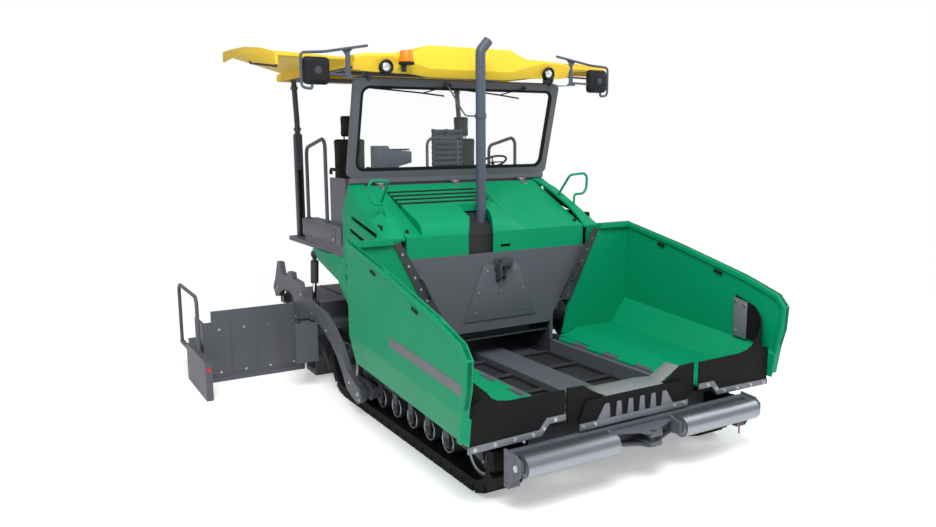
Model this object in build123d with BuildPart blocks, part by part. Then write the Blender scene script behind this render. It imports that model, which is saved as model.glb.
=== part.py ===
"""Tracked asphalt paver with folding hopper wings, augers and an extendable screed.

Row frame: origin on the ground below the middle of the machine, +X forwards
(towards the push rollers), +Y to the machine's left, +Z up. Millimetres.
"""
from build123d import *
from math import atan2, cos, degrees, pi, radians, sin, sqrt
import os

os.makedirs("parts", exist_ok=True)

# ---------------------------------------------------------------- driving dimensions
# Fits
SEAT_GAP = 0.3  # gap between curved faces that bear on each other
RUN_GAP = 6.0  # gap between pieces that move past each other

# Tracks: one loop round an idler in front and a sprocket behind
TRACK_INNER_Y = 970
TRACK_WIDTH = 305
IDLER_X = 2355
SPROCKET_X = -317
IDLER_RADIUS = 200
SPROCKET_RADIUS = 260
CHAIN_THICKNESS = 50
SHOE_HEIGHT = 58
SHOE_COUNT = 42
SHOE_LENGTH = 150
SHOE_ROOT = 6  # part of a shoe that is sunk into its chain link
ROLLER_RADIUS = 104
ROLLER_COUNT = 6
ROLLER_PITCH = 330
ROLLER_FRONT_X = 1829
WHEEL_WIDTH = 160
AXLE_RADIUS = 32

# Chassis
FRAME_HALF_WIDTH = 650
PLATE = 30  # main frame plate
CHASSIS_BOTTOM_Z = 300
CHASSIS_FRONT_X = 2560
HOPPER_SILL_Z = 590
DECK_BEAM_Z = 1490
AXLE_TUBE_RADIUS = 110

# Conveyors
CONVEYOR_FLOOR_Z = 440
CONVEYOR_FLOOR_THICKNESS = 12
CONVEYOR_REAR_X = -720
CONVEYOR_FRONT_X = 2545
DIVIDER_HALF_WIDTH = 165
DIVIDER_TOP_Z = 520
BAR_PITCH = 510
BAR_FRONT_X = 2347
BAR_COUNT = 6
BAR_RADIUS = 22
CHAIN_HEIGHT = 30
CHAIN_WIDTH = 26

# Hopper
HOPPER_REAR_X = 790
HOPPER_FRONT_X = 2735
WING_HINGE_Y = 690
WING_HINGE_Z = 612
WING_HINGE_RADIUS = 26
WING_PIN_RADIUS = 12
KNUCKLE_LENGTH = 240
KNUCKLE_PITCH = 450
KNUCKLE_STARTS = [860 + KNUCKLE_PITCH * place for place in range(4)]
WING_OUTER_Y = 1632
WING_SKIN = 40
WING_FRONT_X = 2900
APRON_X = 740
APRON_THICKNESS = 25
RUBBER_THICKNESS = 15
RUBBER_X = 2745

# Upper body
HOOD_FRONT_X = 765
HOOD_REAR_X = -164
HOOD_FRONT_Z = 1785
HOOD_REAR_Z = 2226
HOOD_BOTTOM_Z = 1580
HOOD_HALF_WIDTH = 1030
HOOD_SKIN = 25
HOOD_HINGE_X = -164
HOOD_HINGE_Z = 2240
HOOD_HINGE_Y = (-865, 12, 875)
HOOD_HINGE_RADIUS = 13
HOOD_HINGE_LENGTH = 60
HOOD_PIN_RADIUS = 6
COWL_INNER_Y = 1085
COWL_OUTER_Y = 1275
COWL_SKIN = 25
DECK_TOP_Z = 1540
DECK_REAR_X = -2050
DECK_FRONT_X = -230
STACK_X = 486
STACK_Y = -54
STACK_RADIUS = 50
STACK_TOP_Z = 3600
ENGINE_BOTTOM_Z = 712
ENGINE_TOP_Z = 1440

# Windscreen and roof
SCREEN_FOOT_X = -179
SCREEN_FOOT_Z = 2300
SCREEN_HEIGHT = 1010
SCREEN_LEAN = 15.0
SCREEN_HALF_WIDTH = 1215
SCREEN_DEPTH = 60
GLASS_THICKNESS = 8
ROOF_FRONT_X = 110
ROOF_REAR_X = -2235
ROOF_HALF_WIDTH = 1263
ROOF_EDGE_Z = 3348
ROOF_UNDERSIDE_Z = 3430
POST_X = -2025
POST_Y = 1115
POST_SIZE = 70
AWNING_OUTER_Y = 1950

# Push rollers
PUSH_ROLLER_X = 2905
PUSH_ROLLER_Z = 382
PUSH_ROLLER_RADIUS = 85
PUSH_ROLLER_INNER_Y = 346
PUSH_ROLLER_OUTER_Y = 1193
PUSH_BAR_X = 2742
PUSH_BAR_DEPTH = 60
PUSH_PIVOT_X = 2700
PUSH_PIVOT_RADIUS = 30
PUSH_AXLE_RADIUS = 25
TOW_EYE_X = 2955
TOW_EYE_RADIUS = 24
TOW_PLATE = 25

# Augers
AUGER_X = -925
AUGER_Z = 340
AUGER_RADIUS = 190
AUGER_SHAFT_RADIUS = 45
AUGER_INNER_Y = 80
AUGER_OUTER_Y = 1480
AUGER_PITCH = 300
AUGER_BEAM_TOP_Z = 700
AUGER_BEAM_HEIGHT = 120
AUGER_BEARING_RADIUS = 25
AUGER_BEARING_DEPTH = 40
FLIGHT_THICKNESS = 14
FLIGHT_STEPS = 24  # sections in one turn of the flight

# Screed
TOW_PIVOT_X = 391
TOW_PIVOT_Z = 253
TOW_PIVOT_RADIUS = 32
ARM_INNER_Y = 1335
ARM_THICKNESS = 60
SCREED_FRONT_X = -1190
SCREED_DEPTH = 330
SCREED_HALF_WIDTH = 1270
SCREED_TOP_Z = 850
SCREED_WALL = 30
SCREED_REAR_BEAM = (-2230, -1960)  # x of the beam behind the extensions
EXTENSION_DEPTH = 400
EXTENSION_LANE_GAP = 10  # between the main screed's rear face and an extension
EXTENSION_STROKE = 950
EXTENSION_INNER_Y = 1290
EXTENSION_OUTER_Y = 2440
EXTENSION_STEP_Y = 2340
EXTENSION_TOP_Z = 812
EXTENSION_STEP_Z = 689
EXTENSION_WALL = 25
EXTENSION_STEP_REAR_X = -2400
TELESCOPE_X = -1730
TELESCOPE_RADIUS = 80
TELESCOPE_ROD_RADIUS = 60
TELESCOPE_LEFT_Z = 590
TELESCOPE_RIGHT_Z = 400
WALKWAY_REAR_X = -3000
WALKWAY_Z = 400
END_PLATE_INNER_Y = 2490
END_PLATE_OUTER_Y = 2560
END_PLATE_FRONT_X = -900
END_PLATE_REAR_X = -1850
END_PLATE_TOP_Z = 420

# Cylinders
WING_CYLINDER_X = 1300
WING_BARREL_RADIUS = 35
WING_ROD_RADIUS = 20
WING_CYLINDER_FOOT = (790, 250)  # y, z of the barrel's pin
WING_CYLINDER_EYE = (905, 585)  # y, z of the rod's pin
WING_BARREL_LENGTH = 270
WING_ROD_LENGTH = 275
WING_CYLINDER_PIN = 14
LIFT_CYLINDER_Y = 1250
LIFT_CYLINDER_TOP = (-1150, 1420)  # x, z of the barrel's pin
LIFT_CYLINDER_EYE = (-1215, 830)  # x, z of the rod's pin
LIFT_BARREL_LENGTH = 330
LIFT_ROD_LENGTH = 305
LIFT_CYLINDER_PIN = 20
LIFT_BARREL_RADIUS = 45
LIFT_ROD_RADIUS = 25
EYE_PLAY = 11.5  # play of a rod's eye round its pin: it drifts that far between the ends of its stroke

# ---------------------------------------------------------------- derived places
BELT = CHAIN_THICKNESS + SHOE_HEIGHT
IDLER_Z = BELT + IDLER_RADIUS
SPROCKET_Z = BELT + SPROCKET_RADIUS
TRACK_MIDDLE_Y = TRACK_INNER_Y + TRACK_WIDTH / 2
ROLLER_Z = BELT + SEAT_GAP + ROLLER_RADIUS
ROLLER_X = [ROLLER_FRONT_X - ROLLER_PITCH * place for place in range(ROLLER_COUNT)]
HOOD_SLOPE = (HOOD_REAR_Z - HOOD_FRONT_Z) / (HOOD_FRONT_X - HOOD_REAR_X)
SCREED_REAR_X = SCREED_FRONT_X - SCREED_DEPTH
EXTENSION_FRONT_X = SCREED_REAR_X - EXTENSION_LANE_GAP
EXTENSION_REAR_X = EXTENSION_FRONT_X - EXTENSION_DEPTH
ROD_INNER_Y = 980
GUIDE_INNER_Y = ROD_INNER_Y - EXTENSION_STROKE - 20


def side_plane(y):
    """Plane of a side view, at the given Y: local axes X and Z, extruding towards -Y."""
    return Plane(origin=(0, y, 0), x_dir=(1, 0, 0), z_dir=(0, -1, 0))


def front_plane(x):
    """Plane of a front view, at the given X: local axes Y and Z, extruding towards +X."""
    return Plane(origin=(x, 0, 0), x_dir=(0, 1, 0), z_dir=(1, 0, 0))


def panel(outline, plane, thickness, mode=Mode.ADD):
    """Extrude a closed polygon drawn on a plane."""
    with BuildSketch(plane) as profile:
        with BuildLine():
            Polyline(*outline, close=True)
        make_face()
    extrude(profile.sketch, amount=thickness, mode=mode)


def block(x_range, y_range, z_range, mode=Mode.ADD):
    """Add or cut a box given by its lowest and highest corners."""
    centre = [(low + high) / 2 for low, high in (x_range, y_range, z_range)]
    size = [high - low for low, high in (x_range, y_range, z_range)]
    with Locations(tuple(centre)):
        Box(*size, mode=mode)


def rod(start, end, radius, mode=Mode.ADD):
    """Add or cut a round bar between two points."""
    along = Vector(*end) - Vector(*start)
    with BuildSketch(Plane(origin=start, z_dir=along)) as section:
        Circle(radius)
    extrude(section.sketch, amount=along.length, mode=mode)


def pipe(points, radius, bend):
    """Add a bent tube through the given corner points."""
    with BuildLine() as path:
        FilletPolyline(*points, radius=bend)
    with BuildSketch(Plane(origin=path.line @ 0, z_dir=path.line % 0)) as section:
        Circle(radius)
    sweep(section.sketch, path=path.line)


def ram_barrel(foot, eye, axis, length, radius, bore, pin):
    """Add a hydraulic barrel: an eye on its foot pin and a bored tube towards the rod's eye."""
    foot, axis = Vector(*foot), Vector(*axis)
    along = (Vector(*eye) - foot).normalized()
    neck = radius * 1.7
    half = axis * (radius * 0.6)
    rod(foot - half, foot + half, pin * 2.2)
    rod(foot + along * (pin * 1.6), foot + along * neck, radius * 0.55)
    rod(foot + along * neck, foot + along * length, radius)
    rod(foot + along * (neck + 8), foot + along * (length + 1), bore + SEAT_GAP, mode=Mode.SUBTRACT)
    rod(foot - axis * radius, foot + axis * radius, pin + SEAT_GAP, mode=Mode.SUBTRACT)


def ram_rod(foot, eye, axis, length, radius, pin):
    """Add a hydraulic rod with its eye."""
    eye, axis = Vector(*eye), Vector(*axis)
    along = (Vector(*foot) - eye).normalized()
    half = axis * (radius * 0.7)
    rod(eye - half, eye + half, pin * 2.2)
    rod(eye + along * (pin * 1.6), eye + along * length, radius)
    rod(eye - axis * (radius + 1), eye + axis * (radius + 1), pin + EYE_PLAY, mode=Mode.SUBTRACT)


def write_part(piece, label):
    """Label a finished piece and write its STEP file."""
    piece.part.label = label
    export_step(piece.part, f"parts/{label}.step")


def write_pair(left, label):
    """Write a left-hand piece and its mirror image on the right."""
    write_part(left, f"{label}_left")
    with BuildPart() as right:
        mirror(left.part, about=Plane.XZ)
    write_part(right, f"{label}_right")


# ---------------------------------------------------------------- tracks
def along_loop(distance):
    """Place on the chain's outer surface: X, Z and the angle of the outward normal."""
    front = IDLER_RADIUS + CHAIN_THICKNESS
    rear = SPROCKET_RADIUS + CHAIN_THICKNESS
    span = IDLER_X - SPROCKET_X
    tilt = 2 * atan2(rear - front, span)
    top_angle = pi / 2 - tilt
    rear_arc = rear * (1.5 * pi - top_angle)
    front_arc = front * (top_angle + pi / 2)
    if distance < span:
        return IDLER_X - distance, IDLER_Z - front, -pi / 2, False
    distance -= span
    if distance < rear_arc:
        angle = 1.5 * pi - distance / rear
        return SPROCKET_X + rear * cos(angle), SPROCKET_Z + rear * sin(angle), angle, True
    distance -= rear_arc
    if distance < span:
        x = SPROCKET_X + rear * cos(top_angle) + distance * cos(tilt)
        z = SPROCKET_Z + rear * sin(top_angle) - distance * sin(tilt)
        return x, z, top_angle, False
    angle = top_angle - (distance - span) / front
    return IDLER_X + front * cos(angle), IDLER_Z + front * sin(angle), angle, True


def loop_length():
    """Length of the chain's outer surface."""
    front = IDLER_RADIUS + CHAIN_THICKNESS
    rear = SPROCKET_RADIUS + CHAIN_THICKNESS
    span = IDLER_X - SPROCKET_X
    tilt = 2 * atan2(rear - front, span)
    return 2 * span + rear * (pi + tilt) + front * (pi - tilt)


def sunk_on_arc(radius):
    """How far a flat shoe sinks on an arc so that its corners stay on the outer radius."""
    return radius - sqrt(radius**2 - (SHOE_LENGTH / 2) ** 2)


with BuildPart() as track:
    with BuildSketch(side_plane(TRACK_INNER_Y + TRACK_WIDTH)):
        with Locations((IDLER_X, IDLER_Z)):
            Circle(IDLER_RADIUS + CHAIN_THICKNESS)
        with Locations((SPROCKET_X, SPROCKET_Z)):
            Circle(SPROCKET_RADIUS + CHAIN_THICKNESS)
        make_hull()
        for count in range(SHOE_COUNT):
            x, z, normal, on_arc = along_loop((count + 0.5) * loop_length() / SHOE_COUNT)
            sunk = sunk_on_arc(IDLER_RADIUS + BELT) if on_arc else 0
            reach = (SHOE_HEIGHT - SHOE_ROOT) / 2 - sunk
            place = (x + reach * cos(normal), z + reach * sin(normal), 0)
            with Locations(Location(place, (0, 0, degrees(normal)))):
                Rectangle(SHOE_HEIGHT + SHOE_ROOT, SHOE_LENGTH)
    extrude(amount=TRACK_WIDTH)
    with BuildSketch(side_plane(TRACK_INNER_Y + TRACK_WIDTH)):
        with Locations((IDLER_X, IDLER_Z)):
            Circle(IDLER_RADIUS)
        with Locations((SPROCKET_X, SPROCKET_Z)):
            Circle(SPROCKET_RADIUS)
        make_hull()
    extrude(amount=TRACK_WIDTH, mode=Mode.SUBTRACT)
write_pair(track, "track")

# Idler, sprocket and rollers: each a rim and a web on its own axle
WHEELS = (  # x, z, rim radius, web recess
    [(IDLER_X, IDLER_Z, IDLER_RADIUS, 45), (SPROCKET_X, SPROCKET_Z, SPROCKET_RADIUS, 45)]
    + [(x, ROLLER_Z, ROLLER_RADIUS, 25) for x in ROLLER_X]
)
with BuildPart() as track_wheels:
    for x, z, radius, recess in WHEELS:
        outer = TRACK_MIDDLE_Y + WHEEL_WIDTH / 2
        with BuildSketch(side_plane(outer)):
            with Locations((x, z)):
                Circle(radius - SEAT_GAP)
        extrude(amount=WHEEL_WIDTH)
        with BuildSketch(side_plane(outer)):
            with Locations((x, z)):
                Circle(radius * 0.8)
        extrude(amount=recess, mode=Mode.SUBTRACT)
        with BuildSketch(side_plane(outer)):
            with Locations((x, z)):
                Circle(AXLE_RADIUS + SEAT_GAP)
        extrude(amount=WHEEL_WIDTH, mode=Mode.SUBTRACT)
write_pair(track_wheels, "track_wheels")

# ---------------------------------------------------------------- chassis
FRAME_SIDE = [  # x, z of one main side plate
    (-700, CHASSIS_BOTTOM_Z),
    (-700, AUGER_BEAM_TOP_Z),
    (-1080, AUGER_BEAM_TOP_Z),
    (-1080, DECK_BEAM_Z),
    (APRON_X, DECK_BEAM_Z),
    (APRON_X, HOPPER_SILL_Z),
    (CHASSIS_FRONT_X, HOPPER_SILL_Z),
    (CHASSIS_FRONT_X, CHASSIS_BOTTOM_Z),
]
TRACK_BEAM_INSET = 70
HANGER_THICKNESS = 18
LUG = 20  # thickness of a lug
LUG_GAP = 22  # half the gap between a clevis's lugs
with BuildPart() as chassis:
    panel(FRAME_SIDE, side_plane(FRAME_HALF_WIDTH), PLATE)
    # track frame: a box beam over the rollers, tied to the main frame by two cross tubes
    beam_inner = TRACK_INNER_Y + TRACK_BEAM_INSET
    beam_outer = TRACK_INNER_Y + TRACK_WIDTH - TRACK_BEAM_INSET
    beam_bottom = ROLLER_Z + ROLLER_RADIUS + 14
    block((60, 2120), (beam_inner, beam_outer), (beam_bottom, 440))
    for x in (330, 1660):
        block((x - 75, x + 75), (FRAME_HALF_WIDTH, beam_inner), (beam_bottom + 5, 430))
    wheel_inner = TRACK_MIDDLE_Y - WHEEL_WIDTH / 2 - SEAT_GAP
    wheel_outer = TRACK_MIDDLE_Y + WHEEL_WIDTH / 2 + SEAT_GAP
    for y in (wheel_inner - HANGER_THICKNESS, wheel_outer):
        for x in ROLLER_X:
            block((x - 45, x + 45), (y, y + HANGER_THICKNESS), (ROLLER_Z - 50, beam_bottom + 20))
        block((2000, IDLER_X + 60), (y, y + HANGER_THICKNESS), (IDLER_Z - 45, IDLER_Z + 45))
        block((2000, 2120), (y, y + HANGER_THICKNESS), (IDLER_Z - 45, 440))
    for x, z, radius, recess in WHEELS:
        rod((x, wheel_inner - HANGER_THICKNESS, z), (x, wheel_outer + HANGER_THICKNESS, z), AXLE_RADIUS)
    rod((SPROCKET_X, FRAME_HALF_WIDTH - 1, SPROCKET_Z), (SPROCKET_X, wheel_inner, SPROCKET_Z), AXLE_TUBE_RADIUS)
    # feet of the wing cylinders and heads of the lift cylinders
    foot_y, foot_z = WING_CYLINDER_FOOT
    for x in (WING_CYLINDER_X - LUG_GAP - LUG, WING_CYLINDER_X + LUG_GAP):
        block((x, x + LUG), (FRAME_HALF_WIDTH - PLATE, foot_y + 30), (foot_z - 40, foot_z + 30))
        block((x, x + LUG), (FRAME_HALF_WIDTH - PLATE, foot_y - 70), (foot_z, CHASSIS_BOTTOM_Z + 10))
    rod(
        (WING_CYLINDER_X - LUG_GAP - LUG, foot_y, foot_z),
        (WING_CYLINDER_X + LUG_GAP + LUG, foot_y, foot_z),
        WING_CYLINDER_PIN,
    )
    top_x, top_z = LIFT_CYLINDER_TOP
    lug_y = LIFT_CYLINDER_Y - LIFT_BARREL_RADIUS - RUN_GAP
    block((top_x - 45, top_x + 45), (lug_y - LUG, lug_y), (top_z - 45, DECK_BEAM_Z))
    rod((top_x, lug_y - 5, top_z), (top_x, LIFT_CYLINDER_Y + 40, top_z), LIFT_CYLINDER_PIN)
    mirror(about=Plane.XZ)
    block((top_x - 45, -1080), (-lug_y, lug_y), (DECK_BEAM_Z - 60, DECK_BEAM_Z))
    # cross members, deck beams and the nose with the push bar's pivot pin
    inside = FRAME_HALF_WIDTH - PLATE
    block((-700, -640), (-inside, inside), (CHASSIS_BOTTOM_Z, CONVEYOR_FLOOR_Z))
    block((700, 760), (-inside, inside), (CHASSIS_BOTTOM_Z, CONVEYOR_FLOOR_Z))
    block((CHASSIS_FRONT_X, CHASSIS_FRONT_X + 40), (-930, 930), (CHASSIS_BOTTOM_Z, 520))
    for x in (-1080, -290, APRON_X - 60):
        block((x, x + 60), (-1200, 1200), (DECK_BEAM_Z - 60, DECK_BEAM_Z))
    block((CHASSIS_FRONT_X + 40, PUSH_PIVOT_X + 30), (-80, 80), (345, 419))
    rod((PUSH_PIVOT_X, 0, 300), (PUSH_PIVOT_X, 0, 464), PUSH_PIVOT_RADIUS)
write_part(chassis, "chassis_frame")

with BuildPart() as engine:
    block((-150, 640), (-430, 430), (ENGINE_BOTTOM_Z, ENGINE_TOP_Z))
write_part(engine, "engine_block")

# ---------------------------------------------------------------- conveyors
with BuildPart() as conveyor_floor:
    inside = FRAME_HALF_WIDTH - PLATE
    floor_top = CONVEYOR_FLOOR_Z + CONVEYOR_FLOOR_THICKNESS
    block((CONVEYOR_REAR_X, CONVEYOR_FRONT_X), (0, inside), (CONVEYOR_FLOOR_Z, floor_top))
    block((CONVEYOR_REAR_X, CONVEYOR_FRONT_X), (0, DIVIDER_HALF_WIDTH), (floor_top, DIVIDER_TOP_Z))
    block((HOPPER_REAR_X, CONVEYOR_FRONT_X), (inside - 18, inside), (floor_top, HOPPER_SILL_Z))
    sill_front = HOPPER_FRONT_X - RUBBER_THICKNESS - RUN_GAP
    block((HOPPER_REAR_X, sill_front), (inside - 18, WING_HINGE_Y - 32), (HOPPER_SILL_Z, HOPPER_SILL_Z + 15))
    pin_ends = (KNUCKLE_STARTS[0] - 10, KNUCKLE_STARTS[-1] + KNUCKLE_PITCH - RUN_GAP)
    rod((pin_ends[0], WING_HINGE_Y, WING_HINGE_Z), (pin_ends[1], WING_HINGE_Y, WING_HINGE_Z), WING_PIN_RADIUS)
    for start in KNUCKLE_STARTS:
        knuckle = (start + KNUCKLE_LENGTH + RUN_GAP, start + KNUCKLE_PITCH - RUN_GAP)
        rod((knuckle[0], WING_HINGE_Y, WING_HINGE_Z), (knuckle[1], WING_HINGE_Y, WING_HINGE_Z), WING_HINGE_RADIUS)
        block(knuckle, (WING_HINGE_Y - 40, WING_HINGE_Y), (HOPPER_SILL_Z, HOPPER_SILL_Z + 15))
    block((-150, 700), (0, inside), (ENGINE_BOTTOM_Z - 12, ENGINE_BOTTOM_Z))
    # guard over the conveyors' front shafts
    panel(
        [(2380, floor_top), (2380, 650), (2560, 712), (2740, 702), (2740, 560), (CONVEYOR_FRONT_X, 560), (CONVEYOR_FRONT_X, floor_top)],
        side_plane(300),
        300,
    )
    mirror(about=Plane.XZ)
write_part(conveyor_floor, "conveyor_floor")

with BuildPart() as conveyor_bars:
    floor_top = CONVEYOR_FLOOR_Z + CONVEYOR_FLOOR_THICKNESS
    chain_inner = DIVIDER_HALF_WIDTH + 12
    chain_outer = FRAME_HALF_WIDTH - PLATE - 30
    rear = BAR_FRONT_X - BAR_PITCH * (BAR_COUNT - 1)
    for y in (chain_inner, chain_outer - CHAIN_WIDTH):
        block((rear - 60, BAR_FRONT_X - 30), (y, y + CHAIN_WIDTH), (floor_top, floor_top + CHAIN_HEIGHT))
    for count in range(BAR_COUNT):
        x = BAR_FRONT_X - 60 - count * BAR_PITCH
        z = floor_top + BAR_RADIUS
        rod((x, chain_inner, z), (x, chain_outer, z), BAR_RADIUS)
    mirror(about=Plane.XZ)
write_part(conveyor_bars, "conveyor_bars")

# ---------------------------------------------------------------- hopper
APRON_OUTLINE = [  # y, z of the plate's left half
    (0, 800),
    (600, 800),
    (720, 1000),
    (1075, HOOD_BOTTOM_Z - SEAT_GAP),
    (0, HOOD_BOTTOM_Z - SEAT_GAP),
]
with BuildPart() as rear_apron:
    panel(APRON_OUTLINE, front_plane(APRON_X), APRON_THICKNESS)
    block((APRON_X, APRON_X + APRON_THICKNESS), (620, 650), (HOPPER_SILL_Z + 16, 1000))
    mirror(about=Plane.XZ)
write_part(rear_apron, "rear_apron")

WING_SECTIONS = [  # x, then z of: hinge edge, floor, crease, skin's lower edge
    (HOPPER_REAR_X, 640, 714, 958, 686),
    (WING_FRONT_X, 616, 622, 803, 564),
]
WING_SIDE = [  # x, z of the outline that trims the trough
    (HOPPER_REAR_X, 500),
    (HOPPER_REAR_X, 1797),
    (1623, 1629),
    (2433, 1436),
    (2801, 1317),
    (2891, 1219),
    (2877, 1012),
    (2835, 860),
    (2790, 560),
    (2790, 500),
]
WING_FLOOR_INNER_Y = 728
WING_FLOOR = 16
with BuildPart() as wing:
    for x, hinge, floor, crease, lower in WING_SECTIONS:
        with BuildSketch(front_plane(x)):
            with BuildLine():
                Polyline(
                    (WING_FLOOR_INNER_Y, hinge - WING_FLOOR),
                    (WING_FLOOR_INNER_Y, hinge),
                    (950, floor),
                    (1400, floor),
                    (WING_OUTER_Y - WING_SKIN, crease),
                    (WING_OUTER_Y - WING_SKIN, 1900),
                    (WING_OUTER_Y, 1900),
                    (WING_OUTER_Y, crease),
                    (1572, lower),
                    (1300, lower),
                    (1300, floor - WING_FLOOR),
                    (950, floor - WING_FLOOR),
                    close=True,
                )
            make_face()
    loft(ruled=True)
    with BuildSketch(side_plane(2000)):
        with BuildLine():
            Polyline(*WING_SIDE, close=True)
        make_face()
    extrude(amount=1400, mode=Mode.INTERSECT)
    block((HOPPER_FRONT_X, 3000), (600, 1560), (500, 1300), mode=Mode.SUBTRACT)
    panel(
        [(745, 660), (831, 1016), (1193, 1736), (1200, 1790), (WING_OUTER_Y, 1797), (WING_OUTER_Y, 960), (1400, 715), (950, 715)],
        front_plane(HOPPER_REAR_X),
        30,
    )
    # hinge knuckles and the cylinder's lug
    for start in KNUCKLE_STARTS:
        knuckle = (start, start + KNUCKLE_LENGTH)
        rod((knuckle[0], WING_HINGE_Y, WING_HINGE_Z), (knuckle[1], WING_HINGE_Y, WING_HINGE_Z), WING_HINGE_RADIUS)
        block(knuckle, (WING_HINGE_Y, WING_FLOOR_INNER_Y + 10), (WING_HINGE_Z + 2, WING_HINGE_Z + 18))
        rod(
            (knuckle[0] - 1, WING_HINGE_Y, WING_HINGE_Z),
            (knuckle[1] + 1, WING_HINGE_Y, WING_HINGE_Z),
            WING_PIN_RADIUS + SEAT_GAP,
            mode=Mode.SUBTRACT,
        )
    eye_y, eye_z = WING_CYLINDER_EYE
    for x in (WING_CYLINDER_X - LUG_GAP - LUG, WING_CYLINDER_X + LUG_GAP):
        block((x, x + LUG), (eye_y - 35, eye_y + 35), (eye_z - 30, 660))
    rod(
        (WING_CYLINDER_X - LUG_GAP - LUG, eye_y, eye_z),
        (WING_CYLINDER_X + LUG_GAP + LUG, eye_y, eye_z),
        WING_CYLINDER_PIN,
    )
write_pair(wing, "wing")

# Rubber aprons: the outer ones fold with the wings, the middle one stays
WING_RUBBER = [  # y, z
    (705, 560),
    (705, 826),
    (1201, 834),
    (1400, 880),
    (1555, 990),
    (1555, 545),
    (921, 505),
    (850, 560),
]
with BuildPart() as wing_rubber:
    panel(WING_RUBBER, front_plane(HOPPER_FRONT_X + SEAT_GAP), RUBBER_THICKNESS)
    # steel bar bolted along its lower edge
    panel(
        [(1555, 506), (921, 515), (850, 598), (760, 598), (760, 638), (872, 638), (942, 555), (1555, 548)],
        front_plane(HOPPER_FRONT_X + SEAT_GAP + RUBBER_THICKNESS),
        12,
    )
write_pair(wing_rubber, "wing_rubber")

CENTRE_RUBBER = [  # y, z of the left half
    (320, 545),
    (320, 700),
    (504, 819),
    (662, 826),
    (662, 606),
    (655, 545),
]
with BuildPart() as centre_rubber:
    x = HOPPER_FRONT_X - RUBBER_THICKNESS - RUN_GAP
    panel(CENTRE_RUBBER, front_plane(x), RUBBER_THICKNESS)
    mirror(about=Plane.XZ)
write_part(centre_rubber, "centre_rubber")

# ---------------------------------------------------------------- hood and cowls
def hood_z(x, below=0):
    """Height of the hood's sloping plane, less a distance measured downwards."""
    return HOOD_FRONT_Z + (HOOD_FRONT_X - x) * HOOD_SLOPE - below


NOTCH_REAR_X = 345
NOTCH_RIGHT_Y = -256
NOTCH_LEFT_Y = 20
LOUVRE_RIGHT_Y = -863
LOUVRE_LEFT_Y = 205
LOUVRE_COUNT = 4
LOUVRE_FRONT_X = 300
LOUVRE_PITCH = 88
LOUVRE_WIDTH = 42
with BuildPart() as hood:
    rear = HOOD_REAR_X + 12
    panel(
        [(rear, hood_z(rear)), (HOOD_FRONT_X, HOOD_FRONT_Z), (HOOD_FRONT_X, HOOD_BOTTOM_Z), (rear, HOOD_BOTTOM_Z)],
        side_plane(HOOD_HALF_WIDTH),
        2 * HOOD_HALF_WIDTH,
    )
    inside = HOOD_HALF_WIDTH - HOOD_SKIN
    panel(
        [
            (rear - 10, hood_z(rear - 10, HOOD_SKIN)),
            (HOOD_FRONT_X - HOOD_SKIN, hood_z(HOOD_FRONT_X - HOOD_SKIN, HOOD_SKIN)),
            (HOOD_FRONT_X - HOOD_SKIN, HOOD_BOTTOM_Z - 1),
            (rear - 10, HOOD_BOTTOM_Z - 1),
        ],
        side_plane(inside),
        2 * inside,
        mode=Mode.SUBTRACT,
    )
    # the sides stay shallow: only a folded edge below the lid
    panel(
        [
            (rear - 10, HOOD_BOTTOM_Z - 1),
            (rear - 10, hood_z(rear - 10, 90)),
            (HOOD_FRONT_X - 60, hood_z(HOOD_FRONT_X - 60, 90)),
            (HOOD_FRONT_X - 60, HOOD_BOTTOM_Z - 1),
        ],
        side_plane(HOOD_HALF_WIDTH + 1),
        2 * HOOD_HALF_WIDTH + 2,
        mode=Mode.SUBTRACT,
    )
    block((NOTCH_REAR_X, HOOD_FRONT_X + 1), (NOTCH_RIGHT_Y, NOTCH_LEFT_Y), (1500, 2300), mode=Mode.SUBTRACT)
    for count in range(LOUVRE_COUNT):
        x = LOUVRE_FRONT_X - count * LOUVRE_PITCH
        block((x - LOUVRE_WIDTH, x), (LOUVRE_RIGHT_Y, LOUVRE_LEFT_Y), (1500, 2300), mode=Mode.SUBTRACT)
    half = HOOD_HINGE_LENGTH / 2
    for y in HOOD_HINGE_Y:
        rod((HOOD_HINGE_X, y - half, HOOD_HINGE_Z), (HOOD_HINGE_X, y + half, HOOD_HINGE_Z), HOOD_HINGE_RADIUS)
        block((HOOD_HINGE_X, HOOD_HINGE_X + 30), (y - half, y + half), (2195, HOOD_HINGE_Z - 4))
        rod(
            (HOOD_HINGE_X, y - half - 1, HOOD_HINGE_Z),
            (HOOD_HINGE_X, y + half + 1, HOOD_HINGE_Z),
            HOOD_PIN_RADIUS + SEAT_GAP,
            mode=Mode.SUBTRACT,
        )
write_part(hood, "hood")

COWL_SIDE = [  # x, z of the outer side panel
    (-200, hood_z(-200, 40)),
    (HOOD_FRONT_X, 1812),
    (HOOD_FRONT_X, 760),
    (300, 760),
    (100, 850),
    (-62, 982),
    (-230, 1110),
    (-393, 1247),
    (-262, 1480),
]
with BuildPart() as cowls:
    panel(COWL_SIDE, side_plane(COWL_OUTER_Y), COWL_SKIN)
    panel(
        [
            (-200, hood_z(-200)),
            (HOOD_FRONT_X, HOOD_FRONT_Z),
            (HOOD_FRONT_X, HOOD_FRONT_Z - COWL_SKIN),
            (-200, hood_z(-200, COWL_SKIN)),
        ],
        side_plane(COWL_OUTER_Y),
        COWL_OUTER_Y - COWL_INNER_Y,
    )
    block((APRON_X, HOOD_FRONT_X), (COWL_INNER_Y, COWL_OUTER_Y), (760, HOOD_FRONT_Z - 10))
    block((700, APRON_X), (1200, COWL_OUTER_Y), (DECK_BEAM_Z - 60, DECK_BEAM_Z))
    mirror(about=Plane.XZ)
write_part(cowls, "side_cowls")

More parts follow.
